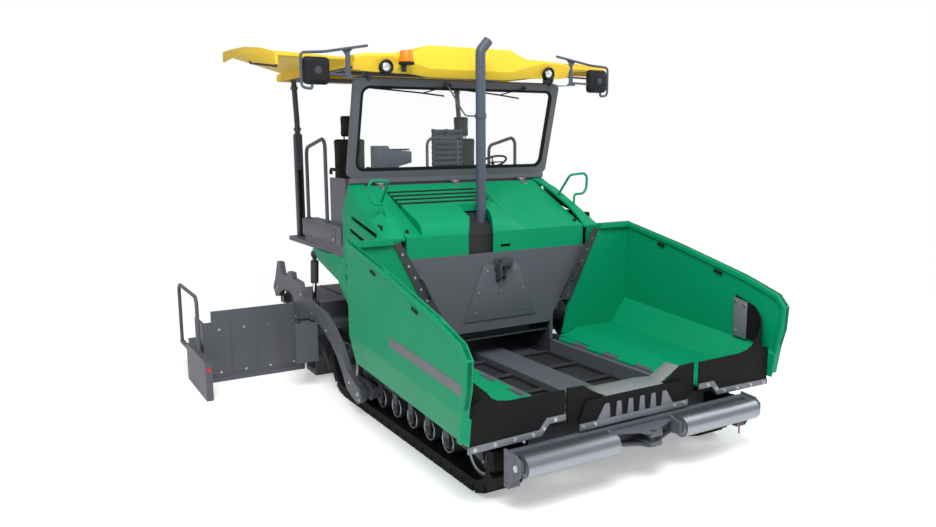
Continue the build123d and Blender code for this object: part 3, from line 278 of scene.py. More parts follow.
NODES_BY_FINISH = (
    (GREY, "auger_frame conveyor_floor end_plate main_screed platform push_roller_bar rear_apron"),
    (GREY, "roof_posts screed_extension tow_arms tow_points windscreen_frame"),
    (DARK, "chassis_frame engine_block lamps lift_barrel track_wheels wing_barrel"),
    (BLUE_GREY, "exhaust_stack grab_rails operator_consoles"),
    (CAST, "auger conveyor_bars"),
    (RUBBER, "centre_rubber track wing_rubber"),
    (GREEN, "hood side_cowls wing"),
    (YELLOW, "roof side_awnings"),
    (CHROME, "lift_rod wing_rod"),
    (STEEL, "push_roller"),
    (PLASTIC, "mirror_boxes"),
    (VINYL, "seat_cushions"),
    (GLASS, "windscreen_glass"),
)
NODE_FINISHES = {name: finish for finish, names in NODES_BY_FINISH for name in names.split()}


def dress_frame() -> None:
    """Give every CAD node its finish; a pair's two sides share one."""
    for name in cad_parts:
        stem = name.removesuffix("_left").removesuffix("_right")
        dress(name, NODE_FINISHES[stem])
        log.info("dressed %s", name)


# ---------------------------------------------------------------- studio
@dataclass
class Studio:
    """Pale floor, soft lights and the camera."""

    floor_half_m: float = 60.0
    floor_near_m: float = 4.5
    floor_far_m: float = 9.0
    floor_lift: float = 0.36
    camera_mm: Point = (7277.1, -4187.8, 2682.4)
    azimuth_deg: float = 30.35
    elevation_deg: float = 8.96
    roll_deg: float = -0.39
    lens_mm: float = 30.27
    sensor_mm: float = 36.0
    world_strength: float = 0.5
    sky: str = "#F4F6FA"
    # place in metres, side in metres, watts
    lights: tuple = (
        ("key_light", (6.0, -3.5, 9.0), 5.0, 900.0), ("fill_light", (3.0, 8.0, 6.0), 6.0, 300.0),
    )
    aim: Point = (0.0, 0.0, 1.2)

    def build(self) -> None:
        """Make the whole studio."""
        self.floor()
        self.world()
        for settings in self.lights:
            self.light(*settings)
        self.camera()

    def floor(self) -> None:
        """Make the pale floor."""
        mesh = bmesh.new()
        bmesh.ops.create_grid(mesh, x_segments=1, y_segments=1, size=self.floor_half_m)
        piece = mesh_piece("floor", mesh)
        material = bpy.data.materials.new("pale_floor")
        material.use_nodes = True
        tree = material.node_tree
        tree.nodes.clear()
        place = add_node(tree, "ShaderNodeTexCoord").outputs["Object"]
        distance = add_node(tree, "ShaderNodeVectorMath", {0: place}, operation="LENGTH").outputs["Value"]
        far = add_node(
            tree, "ShaderNodeMapRange",
            {"Value": distance, "From Min": self.floor_near_m, "From Max": self.floor_far_m},
        )
        path = add_node(tree, "ShaderNodeLightPath")
        seen = add_node(
            tree, "ShaderNodeMath", {0: path.outputs["Is Camera Ray"], 1: path.outputs["Is Glossy Ray"]},
            operation="MAXIMUM",
        )
        through = add_node(
            tree, "ShaderNodeMath", {0: seen.outputs[0], 1: path.outputs["Is Transmission Ray"]},
            operation="MAXIMUM",
        )
        plain = add_node(
            tree, "ShaderNodeMath", {0: far.outputs["Result"], 1: through.outputs[0]}, operation="MULTIPLY"
        )
        lift = add_node(
            tree, "ShaderNodeMath", {0: through.outputs[0], 1: self.floor_lift}, operation="MULTIPLY"
        )
        lit = add_node(tree, "ShaderNodeBsdfDiffuse", {"Color": WHITE})
        glow = add_node(tree, "ShaderNodeEmission", {"Color": WHITE, "Strength": lift.outputs[0]})
        near = add_node(tree, "ShaderNodeAddShader", {0: lit.outputs[0], 1: glow.outputs[0]})
        white = add_node(tree, "ShaderNodeEmission", {"Color": WHITE, "Strength": 1.0})
        shader = add_node(
            tree, "ShaderNodeMixShader", {0: plain.outputs[0], 1: near.outputs[0], 2: white.outputs[0]}
        )
        add_node(tree, "ShaderNodeOutputMaterial", {"Surface": shader.outputs[0]})
        piece.data.materials.append(material)

    def world(self) -> None:
        """Make the sky: white where the camera and glass see it, softer as a light."""
        world = bpy.data.worlds.new("studio_sky")
        bpy.context.scene.world = world
        world.use_nodes = True
        tree = world.node_tree
        tree.nodes.clear()
        path = add_node(tree, "ShaderNodeLightPath")
        seen = add_node(
            tree, "ShaderNodeMath",
            {0: path.outputs["Is Camera Ray"], 1: path.outputs["Is Transmission Ray"]}, operation="MAXIMUM",
        )
        white = add_node(tree, "ShaderNodeBackground", {"Color": WHITE, "Strength": 1.0})
        sky = {"Color": srgb(self.sky), "Strength": self.world_strength}
        light = add_node(tree, "ShaderNodeBackground", sky)
        mix = add_node(
            tree, "ShaderNodeMixShader", {0: seen.outputs[0], 1: light.outputs[0], 2: white.outputs[0]}
        )
        add_node(tree, "ShaderNodeOutputWorld", {"Surface": mix.outputs[0]})

    def light(self, name: str, place: Point, size: float, watts: float) -> None:
        """Add one square soft light that looks at the machine.

        Args:
            name: The light's name.
            place: Where it stands, in metres.
            size: Its side, in metres.
            watts: Its power.
        """
        lamp = bpy.data.lights.new(name, "AREA")
        lamp.size = size
        lamp.energy = watts
        piece = bpy.data.objects.new(name, lamp)
        bpy.context.scene.collection.objects.link(piece)
        piece.location = place
        aim = Vector(self.aim) - Vector(place)
        piece.rotation_euler = aim.to_track_quat("-Z", "Y").to_euler()

    def camera(self) -> None:
        """Stand the camera at the three-quarter front view."""
        azimuth, elevation, roll = map(math.radians, (self.azimuth_deg, self.elevation_deg, self.roll_deg))
        back = Vector(
            (
                math.cos(elevation) * math.cos(azimuth), -math.cos(elevation) * math.sin(azimuth),
                math.sin(elevation),
            )
        )
        right = (-back).cross(Vector((0.0, 0.0, 1.0))).normalized()
        up = back.cross(right)
        turned_right = right * math.cos(roll) + up * math.sin(roll)
        turned_up = up * math.cos(roll) - right * math.sin(roll)
        lens = bpy.data.cameras.new("camera")
        lens.lens = self.lens_mm
        lens.sensor_width = self.sensor_mm
        lens.clip_end = 200.0
        piece = bpy.data.objects.new("camera", lens)
        bpy.context.scene.collection.objects.link(piece)
        turn = Matrix((turned_right, turned_up, back)).transposed().to_4x4()
        piece.matrix_world = Matrix.Translation(Vector(self.camera_mm) * MM) @ turn
        bpy.context.scene.camera = piece


# ---------------------------------------------------------------- mesh helpers
def mesh_piece(name: str, mesh: bmesh.types.BMesh) -> bpy.types.Object:
    """Turn a finished mesh into an object at the origin.

    Args:
        name: The piece's name.
        mesh: Its shape, which is freed.

    Returns:
        The new object.
    """
    data = bpy.data.meshes.new(name)
    mesh.to_mesh(data)
    mesh.free()
    piece = bpy.data.objects.new(name, data)
    bpy.context.scene.collection.objects.link(piece)
    return piece


def side_range(way: int, near: float, far: float) -> Pair:
    """Give a span of y on one side, its lower end first."""
    return tuple(sorted((way * near, way * far)))


def rounded_route(points: Iterable[Point], bend: float, steps: int = 6) -> list[Vector]:
    """Round the corners of a rigid tube's line.

    Args:
        points: The line's corners.
        bend: How far before and after a corner the bend runs.
        steps: Runs in one bend.

    Returns:
        Points along the rounded line.
    """
    corners = [Vector(point) for point in points]
    route = [corners[0]]
    for before, corner, after in zip(corners, corners[1:], corners[2:]):
        reach = min(bend, (corner - before).length * 0.49, (after - corner).length * 0.49)
        start = corner + (before - corner).normalized() * reach
        end = corner + (after - corner).normalized() * reach
        for step in range(steps + 1):
            share = step / steps
            route.append(start.lerp(corner, share).lerp(corner.lerp(end, share), share))
    route.append(corners[-1])
    return route


class Shape:
    """A mesh under construction, in millimetres."""

    def __init__(self) -> None:
        """Start empty."""
        self.mesh = bmesh.new()

    def prism(self, outline: Iterable[Pair], axis: str, start: float, end: float) -> "Shape":
        """Add a flat outline extruded along one axis.

        Args:
            outline: Pairs in the two other axes, in the order X, Y, Z.
            axis: The axis that it is extruded along.
            start: Its first place on that axis.
            end: Its last place on that axis.

        Returns:
            The shape itself.
        """
        slot = "XYZ".index(axis)
        corners = []
        for pair in outline:
            place = list(pair)
            place.insert(slot, start)
            corners.append(self.mesh.verts.new(place))
        face = self.mesh.faces.new(corners)
        pushed = bmesh.ops.extrude_face_region(self.mesh, geom=[face])["geom"]
        step = Vector((0.0, 0.0, 0.0))
        step[slot] = end - start
        moved = [item for item in pushed if isinstance(item, bmesh.types.BMVert)]
        bmesh.ops.translate(self.mesh, vec=step, verts=moved)
        return self

    def box(self, x_range: Pair, y_range: Pair, z_range: Pair) -> "Shape":
        """Add a box between its lowest and highest places."""
        (rear, front), (right, left) = x_range, y_range
        return self.prism([(rear, right), (front, right), (front, left), (rear, left)], "Z", *z_range)

    def bar(
        self, start: Point, end: Point, radius: float, tip: float | None = None, sides: int = 28
    ) -> "Shape":
        """Add a round bar or cone between two points.

        Args:
            start: Its first end.
            end: Its other end.
            radius: Its radius at the first end.
            tip: Its radius at the other end, the same when not given.
            sides: Faces round it.

        Returns:
            The shape itself.
        """
        along = Vector(end) - Vector(start)
        turn = along.to_track_quat("Z", "Y").to_matrix().to_4x4()
        middle = Matrix.Translation((Vector(start) + Vector(end)) / 2)
        bmesh.ops.create_cone(
            self.mesh, cap_ends=True, segments=sides, radius1=radius,
            radius2=radius if tip is None else tip, depth=along.length, matrix=middle @ turn,
        )
        return self

    def tube(self, points: Iterable[Point], radius: float, bend: float = 60.0, sides: int = 14) -> "Shape":
        """Add a rigid bent tube.

        Args:
            points: The corners of its middle line.
            radius: Its radius.
            bend: How far round each corner the bend runs.
            sides: Faces round it.

        Returns:
            The shape itself.
        """
        route = rounded_route(points, bend)
        rings = []
        forward = route[1] - route[0]
        frame_turn = forward.to_track_quat("Z", "Y")
        for place, point in enumerate(route):
            ahead = route[min(place + 1, len(route) - 1)] - route[max(place - 1, 0)]
            turn = frame_turn.to_matrix().col[2].rotation_difference(ahead.normalized())
            frame_turn = turn @ frame_turn
            ring = bmesh.ops.create_circle(
                self.mesh, segments=sides, radius=radius, cap_ends=place in (0, len(route) - 1),
                matrix=Matrix.Translation(point) @ frame_turn.to_matrix().to_4x4(),
            )["verts"]
            rings.append(ring)
        for near, far in zip(rings, rings[1:]):
            self.bridge(near, far)
        return self

    def bridge(self, near: list[bmesh.types.BMVert], far: list[bmesh.types.BMVert]) -> None:
        """Join two rings of points with faces.

        Args:
            near: The first ring.
            far: The second ring.
        """
        rings = (set(near), set(far))
        edges = {edge for ring in rings for vert in ring for edge in vert.link_edges}
        ring_edges = [edge for edge in edges if any(set(edge.verts) <= ring for ring in rings)]
        bmesh.ops.bridge_loops(self.mesh, edges=ring_edges)

    def loft(self, sections: list[list[Point]], closed: bool = False) -> "Shape":
        """Add a closed shell through equal rings of points.

        Args:
            sections: Rings with the same number of points.
            closed: Whether the last ring joins the first, instead of caps on both.

        Returns:
            The shape itself.
        """
        rings = [[self.mesh.verts.new(point) for point in section] for section in sections]
        for near, far in zip(rings, rings[1:] + rings[:1] if closed else rings[1:]):
            corners = zip(near, near[1:] + near[:1], far[1:] + far[:1], far)
            for quad in corners:
                self.mesh.faces.new(quad)
        if not closed:
            for ring in (rings[0], rings[-1]):
                self.mesh.faces.new(ring)
        return self

    def bolt(self, place: Point, way: Point, radius: float = 11.0) -> "Shape":
        """Add a hexagon head on its washer.

        Args:
            place: Where it sits on the surface.
            way: The direction that it points in.
            radius: Across its corners, halved.

        Returns:
            The shape itself.
        """
        foot, out = Vector(place), Vector(way).normalized()
        self.bar(foot, foot + out * 2.5, radius * 1.35, radius * 1.25, 16)
        self.bar(foot + out * 2, foot + out * (radius * 0.75), radius, radius * 0.92, 6)
        return self

    def turned(self, profile: list[Pair], centre: Point, axis: Point, steps: int = 32) -> "Shape":
        """Add a turned form: radius and height pairs spun round an axis.

        Args:
            profile: Pairs of radius and height along the axis.
            centre: Where height is nothing.
            axis: The axis, pointing up the profile.
            steps: Faces round it.

        Returns:
            The shape itself.
        """
        out = Vector(axis).normalized()
        side = out.orthogonal().normalized()
        foot = Vector(centre)
        verts = [self.mesh.verts.new(foot + side * radius + out * height) for radius, height in profile]
        edges = [self.mesh.edges.new(pair) for pair in zip(verts, verts[1:])]
        bmesh.ops.spin(
            self.mesh, geom=verts + edges, cent=centre, axis=out, angle=2 * math.pi, steps=steps,
            use_merge=True,
        )
        return self

    def bevel(self, width: float, segments: int = 2, sharp: float = 0.5) -> "Shape":
        """Round the edges that turn more than an angle.

        Args:
            width: The rounding's width.
            segments: Faces across it.
            sharp: The least angle that is rounded.

        Returns:
            The shape itself.
        """
        self.clean()
        edges = [edge for edge in self.mesh.edges if edge.is_manifold and edge.calc_face_angle() > sharp]
        bmesh.ops.bevel(
            self.mesh, geom=edges, offset=width, offset_type="OFFSET", affect="EDGES", segments=segments,
            profile=0.5, material=-1, clamp_overlap=True,
        )
        return self

    def clean(self) -> None:
        """Merge doubles and turn every face outwards."""
        bmesh.ops.remove_doubles(self.mesh, verts=self.mesh.verts, dist=0.01)
        bmesh.ops.recalc_face_normals(self.mesh, faces=self.mesh.faces)

    def combine(self, other: "Shape", operation: str) -> "Shape":
        """Cut another shape out of this one, or join it.

        Args:
            other: The other shape, which is freed.
            operation: DIFFERENCE or UNION.

        Returns:
            The shape itself.
        """
        helpers = []
        for shape in (self, other):
            shape.clean()
            data = bpy.data.meshes.new("work")
            shape.mesh.to_mesh(data)
            shape.mesh.free()
            helper = bpy.data.objects.new("work", data)
            bpy.context.scene.collection.objects.link(helper)
            helpers.append(helper)
        cutter = helpers[0].modifiers.new("cut", "BOOLEAN")
        cutter.operation = operation
        cutter.solver = "EXACT"
        cutter.object = helpers[1]
        evaluated = helpers[0].evaluated_get(bpy.context.evaluated_depsgraph_get())
        result = bpy.data.meshes.new_from_object(evaluated)
        self.mesh = bmesh.new()
        self.mesh.from_mesh(result)
        for helper in helpers:
            data = helper.data
            bpy.data.objects.remove(helper)
            bpy.data.meshes.remove(data)
        bpy.data.meshes.remove(result)
        return self

    def both_sides(self) -> "Shape":
        """Add the mirror image on the other side.

        Returns:
            The shape itself.
        """
        everything = self.mesh.verts[:] + self.mesh.edges[:] + self.mesh.faces[:]
        copies = bmesh.ops.duplicate(self.mesh, geom=everything)["geom"]
        copied = [item for item in copies if isinstance(item, bmesh.types.BMVert)]
        bmesh.ops.scale(self.mesh, vec=(1, -1, 1), verts=copied)
        return self

    def flipped(self) -> "Shape":
        """Turn the whole shape over to the other side."""
        bmesh.ops.scale(self.mesh, vec=(1, -1, 1), verts=self.mesh.verts)
        return self

    def pair(
        self, name: str, finish: Finish, body: str = "tractor"
    ) -> tuple[bpy.types.Object, bpy.types.Object]:
        """Finish the shape as the left one of a pair, and its mirror image as the right one.

        Args:
            name: The pieces' name without its side.
            finish: Their finish.
            body: The body that they ride on, with {side} where each side has its own.

        Returns:
            The left object and the right object.
        """
        twin = Shape()
        twin.mesh = self.mesh.copy()
        twin.flipped()
        return tuple(
            shape.piece(f"{name}_{side}", finish, body.format(side=side))
            for (side, _), shape in zip(SIDES, (self, twin))
        )

    def piece(self, name: str, finish: Finish, body: str = "tractor", slot: str = "") -> bpy.types.Object:
        """Finish the shape as a piece of the machine.

        Args:
            name: The piece's name.
            finish: Its finish.
            body: The body that it rides on.
            slot: Not used.

        Returns:
            The new object.
        """
        self.clean()
        bmesh.ops.scale(self.mesh, vec=(MM, MM, MM), verts=self.mesh.verts)
        for face in self.mesh.faces:
            face.smooth = True
        for edge in self.mesh.edges:
            edge.smooth = edge.is_manifold and edge.calc_face_angle() < SMOOTH_ANGLE
        made = mesh_piece(name, self.mesh)
        made.data.materials.append(finish.material())
        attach(made, body)
        log.info("made %s on %s", name, body)
        return made


# ---------------------------------------------------------------- roof and awnings
@dataclass
class Roof:
    """Moulded roof with its awnings, headlights and beacon."""

    half_width: float = 1263.0
    front_x: float = 150.0
    rear_x: float = -2235.0
    ceiling_z: float = 3430.0
    shell: float = 25.0
    undercut: float = 48.0
    crown_step: float = 40.0
    headlight: Point = (205.0, 954.0, 3372.0)
    headlight_hole: float = 64.0
    beacon: Point = (300.0, -770.0, 3396.0)
    beacon_plate_x: Pair = (236.0, 246.0)
    # y, front x, lip z, brow z, crown x, crown z
    sections: tuple = (
        (0, 240, 3293, 3372, 200, 3600), (480, 240, 3293, 3372, 200, 3600),
        (680, 240, 3320, 3430, 210, 3515), (900, 238, 3322, 3478, 222, 3505),
        (1150, 230, 3330, 3470, 205, 3495), (1263, 210, 3345, 3450, 180, 3478),
    )
    # x, top z at the roof, top z at the outer edge
    awning_ends: tuple = ((-1985, 3478, 3660), (-1094, 3474, 3630), (-20, 3472, 3486))
    # x, z of the awning's moulded rim
    valance: tuple = (
        (-1985, 3560), (-1965, 3668), (-1600, 3664), (-1094, 3640), (-576, 3584), (-20, 3490), (-20, 3378),
        (-419, 3422), (-791, 3457), (-1046, 3527), (-1330, 3572), (-1622, 3577),
    )
    # x, z of the rail under the awning
    rail: tuple = ((-1010, 3510), (-1010, 3470), (-120, 3368), (-120, 3420))
    awning_outer_y: float = 1950.0
    # radius, height round each turned part's axis
    ring_profile: tuple = ((46, 46), (54, 56), (68, 50), (68, 34), (63, 30), (63, -20), (46, -20), (46, 46))
    lens_profile: tuple = ((0, 52), (16, 51), (32, 46), (46, 36), (46, 0), (0, 0))
    foot_profile: tuple = ((0, 0), (76, 0), (76, 18), (70, 24), (0, 24))
    dome_profile: tuple = ((0, 24), (72, 24), (72, 38), (66, 42), (60, 118), (52, 130), (0, 134))

    def build(self) -> None:
        """Make every piece of the roof."""
        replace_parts(self.panel(), "roof")
        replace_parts(self.awnings()[0], "side_awnings")
        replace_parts(self.headlights()[0], "lamps")
        self.beacon_pieces()

    def panel(self) -> bpy.types.Object:
        """Make the moulded panel."""
        rings = []
        half = [(-section[0], *section[1:]) for section in reversed(self.sections[1:])]
        for y, front, lip, brow, crown_x, crown_z in [*half, *self.sections]:
            outer = [
                (front - self.undercut, lip), (front, brow), (crown_x, crown_z),
                (self.rear_x + 130, crown_z), (self.rear_x, crown_z - 45),
                (self.rear_x, self.ceiling_z - 50),
            ]
            inner = [
                (self.rear_x + self.shell, self.ceiling_z - 50),
                (self.rear_x + self.shell, crown_z - self.crown_step),
                (crown_x - self.shell - 15, crown_z - self.crown_step), (front - self.shell, brow - 14),
                (front - self.undercut - self.shell, lip),
            ]
            rings.append([(x, y, z) for x, z in outer + inner])
        shape = Shape().loft(rings)
        x, y, z = self.headlight
        heights = (self.ceiling_z - 50, self.ceiling_z + 30)
        for way in (-1, 1):
            edge = side_range(way, self.half_width - self.shell, self.half_width)
            shape.combine(Shape().box((self.rear_x, self.front_x), edge, heights), "UNION")
            hole = Shape().bar((x - 80, way * y, z), (x + 80, way * y, z), self.headlight_hole)
            shape.combine(hole, "DIFFERENCE")
        return shape.bevel(7, 3, 0.35).piece("roof_panel", YELLOW)

    def awnings(self) -> tuple[bpy.types.Object, bpy.types.Object]:
        """Make the awnings: warped panels, their moulded rims and the rails below."""
        far = self.awning_outer_y - self.shell
        rings = []
        for x, inner, outer in self.awning_ends:
            rings.append(
                [
                    (x, self.half_width, inner - self.shell), (x, far + 4, outer - self.shell),
                    (x, far + 4, outer), (x, (self.half_width + far) / 2, (inner + outer) / 2 + 8),
                    (x, self.half_width, inner),
                ]
            )
        shape = Shape().loft(rings)
        shape.combine(Shape().prism(self.valance, "Y", far, self.awning_outer_y), "UNION")
        Shape().tube([(x, far - 14, z) for x, z in self.rail], 11, 30).pair("awning_rail", DARK)
        return shape.bevel(5, 2, 0.45).pair("awning", YELLOW)

    def headlights(self) -> tuple[bpy.types.Object, bpy.types.Object]:
        """Make the headlights: their rings and the domed lenses in them."""
        Shape().turned(self.lens_profile, self.headlight, FORWARDS).pair("headlight_lens", LENS)
        return Shape().turned(self.ring_profile, self.headlight, FORWARDS).pair("headlight_ring", PLASTIC)

    def beacon_pieces(self) -> None:
        """Make the flashing beacon and its bracket."""
        x, y, z = self.beacon
        wide = (y - 26, y + 26)
        bracket = Shape().box((self.beacon_plate_x[0], x + 50), wide, (z - 8, z))
        bracket.box(self.beacon_plate_x, wide, (z - 66, z)).bevel(2).piece("beacon_bracket", DARK)
        Shape().turned(self.foot_profile, self.beacon, UPWARDS).piece("beacon_foot", PLASTIC)
        Shape().turned(self.dome_profile, self.beacon, UPWARDS).piece("beacon_lens", AMBER)


# ---------------------------------------------------------------- hood, stack notch and cowls
# x, z of the hood's plane at its front edge and at its hinges
HOOD_LINE = ((765, 1785), (-164, 2226))


def hood_z(x: float, below: float = 0.0) -> float:
    """Height of the hood's sloping plane at an x, less a distance downwards."""
    (front_x, front_z), (rear_x, rear_z) = HOOD_LINE
    return front_z + (front_x - x) * (rear_z - front_z) / (front_x - rear_x) - below


@dataclass
class Hood:
    """Engine hood with its louvres, raised panel and the stack's notch."""

    front_x: float = 765.0
    rear_x: float = -152.0
    bottom_z: float = 1580.0
    half_width: float = 1030.0
    skin: float = 25.0
    flange: float = 90.0
    louvre_y: Pair = (-863.0, 205.0)
    louvre_front_x: float = 300.0
    louvre_pitch: float = 88.0
    louvre_width: float = 52.0
    louvre_count: int = 4
    notch: tuple = ((345, -256), (645, -280), (766, -367), (766, -86), (541, 12), (345, 20))
    raised_height: float = 86.0
    # y where the raised panel starts to fall, and where it has gone
    raised_y: Pair = (160.0, 300.0)
    raised_end_x: float = 650.0
    latch: tuple = ((700, 800), (3, 119), (1626, 1654))
    # Painted shade: the near-black plate behind the latch's slot
    latch_back: tuple = ((718, 724), (-5, 127), (1618, 1662))
    # Painted shade under the stack's notch and behind the louvres: where the near-black tray and plate stand
    notch_shade_x: Pair = (290.0, 700.0)
    notch_shade_y: Pair = (-395.0, 60.0)
    notch_shade_floor_z: float = 1500.0
    louvre_shade_x: Pair = (-60.0, 330.0)
    louvre_shade_y: Pair = (-900.0, 240.0)
    hinge: Pair = (-164.0, 2240.0)
    hinge_y: tuple = (-865, 12, 875)
    knob: Pair = (679.0, 985.0)
    knob_profile: tuple = ((0, 0), (20, 0), (20, 8), (14, 12), (14, 24), (10, 28), (0, 28))
    slope: Point = (0.43, 0.0, 0.9)

    def raised(self, height: float) -> list[Pair]:
        """Return the side outline of the raised panel at a height."""
        ends = ((self.raised_end_x, 1.0), (710, 0.93), (743, 0.55), (761, 0.0))
        line = [(x, hood_z(x) + height * share) for x, share in ends]
        rear, front = self.rear_x, ends[-1][0]
        return [(rear, hood_z(rear, 6)), (rear, hood_z(rear)), *line, (front, hood_z(front, 6))]

    def louvres(self) -> Iterator[Pair]:
        """Give each louvre's rear and front x."""
        for count in range(self.louvre_count):
            x = self.louvre_front_x - count * self.louvre_pitch
            yield x - self.louvre_width, x

    def build(self) -> None:
        """Make the lid and what sits in and on it."""
        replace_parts(self.lid().piece("hood_lid", GREEN, "hood"), "hood")
        self.recess()
        self.shade_inlays()
        self.hinges()

    def lid(self) -> Shape:
        """Make the folded lid with every cut."""
        front, rear, skin, half = self.front_x, self.rear_x, self.skin, self.half_width
        bottom = self.bottom_z
        outline = [(rear, hood_z(rear)), (front, hood_z(front)), (front, bottom), (rear, bottom)]
        lid = Shape().prism(outline, "Y", -half, half)
        for inset, drop, reach in ((skin, skin, half - skin), (60, self.flange, half + 1)):
            cut = [
                (rear - 10, hood_z(rear - 10, drop)), (front - inset, hood_z(front - inset, drop)),
                (front - inset, bottom - 1), (rear - 10, bottom - 1),
            ]
            lid.combine(Shape().prism(cut, "Y", -reach, reach), "DIFFERENCE")
        start, end = self.raised_y
        steps = ((self.louvre_y[0], self.raised_height), (start, self.raised_height), (end, 2))
        rings = [[(x, y, z) for x, z in self.raised(height)] for y, height in steps]
        lid.combine(Shape().loft(rings), "UNION")
        lid.combine(Shape().prism(self.notch, "Z", 1500, 2400), "DIFFERENCE")
        for x_range in self.louvres():
            lid.combine(Shape().box(x_range, self.louvre_y, (1500, 2400)), "DIFFERENCE")
        lid.combine(Shape().box(*self.latch), "DIFFERENCE")
        return lid.bevel(5, 2, 0.5)

    def recess(self) -> None:
        """Make painted shade under the hood: a near-black tray under the stack's notch for the engine bay's
        shade, and a near-black plate for the shade behind the louvres.
        """
        # Painted shade: a near-black tray under the stack's notch, where the engine bay is only in shade
        rear, front = self.notch_shade_x
        floor = self.notch_shade_floor_z
        inner = front - 10
        notch_shade = [(rear, hood_z(rear, 50)), (front, hood_z(front, 50)), (front, floor)]
        notch_shade += [(inner, floor), (inner, hood_z(inner, 62)), (rear, hood_z(rear, 62))]
        shape = Shape().prism(notch_shade, "Y", *self.notch_shade_y)
        shape.box((rear - 6, rear + 2), self.notch_shade_y, (floor, hood_z(rear, 50))).piece("stack_notch_shade", CAST)
        # Painted shade: a near-black plate under the louvres, where there is only the engine bay's shade
        rear, front = self.louvre_shade_x
        back = [(x, hood_z(x, drop)) for x, drop in ((rear, 60), (front, 60), (front, 72), (rear, 72))]
        Shape().prism(back, "Y", *self.louvre_shade_y).piece("louvre_slot_shade", PLASTIC)

    def shade_inlays(self) -> None:
        """Make the near-black strips in the louvres and the plate behind the latch's slot, both painted
        shade of the openings, and the knobs.
        """
        # Painted shade: near-black strips just under the lid fill the louvres' openings
        shade_inlays = Shape()
        start = self.raised_y[0]
        for rear, front in self.louvres():
            near, far = (hood_z(x) + self.rise(x) - 5 for x in (front, rear))
            strip = [(front - 0.5, near), (rear + 0.5, far)]
            strip += [(x, z - 14) for x, z in reversed(strip)]
            shade_inlays.prism(strip, "Y", self.louvre_y[0] + 0.5, start)
            shade_inlays.prism([(x, z - self.rise(x) + 3) for x, z in strip], "Y", start, self.louvre_y[1] - 0.5)
        shade_inlays.piece("louvre_shade_inlays", PLASTIC, "hood")
        # Painted shade: a near-black plate behind the latch's slot
        Shape().box(*self.latch_back).piece("latch_slot_shade", PLASTIC, "hood")
        x, half = self.knob
        knobs = Shape()
        for y in (-half, half):
            knobs.turned(self.knob_profile, (x, y, hood_z(x)), self.slope, 20)
        knobs.piece("latch_knobs", PLASTIC, "hood")

    def rise(self, x: float) -> float:
        """Return the raised panel's height above the lid at an x."""
        return self.raised_height * (x - self.rear_x) / (self.raised_end_x - self.rear_x)

    def hinges(self) -> None:
        """Make the lid's three hinge leaves and barrels."""
        x, z = self.hinge
        leaf = [(x, z - 8), (x, z - 1), *((x + run, hood_z(x + run) + 9) for run in (24, 95))]
        leaf += [(x + run, hood_z(x + run) + 1) for run in (95, 24)]
        shape = Shape()
        for y in self.hinge_y:
            shape.bar((x, y - 30, z), (x, y + 30, z), 13)
            shape.prism(leaf, "Y", y - 28, y + 28)
            for along in (45, 75):
                shape.bolt((x + along, y, hood_z(x + along) + 9), self.slope, 7)
        shape.piece("hood_hinge_leaves", ZINC, "hood")


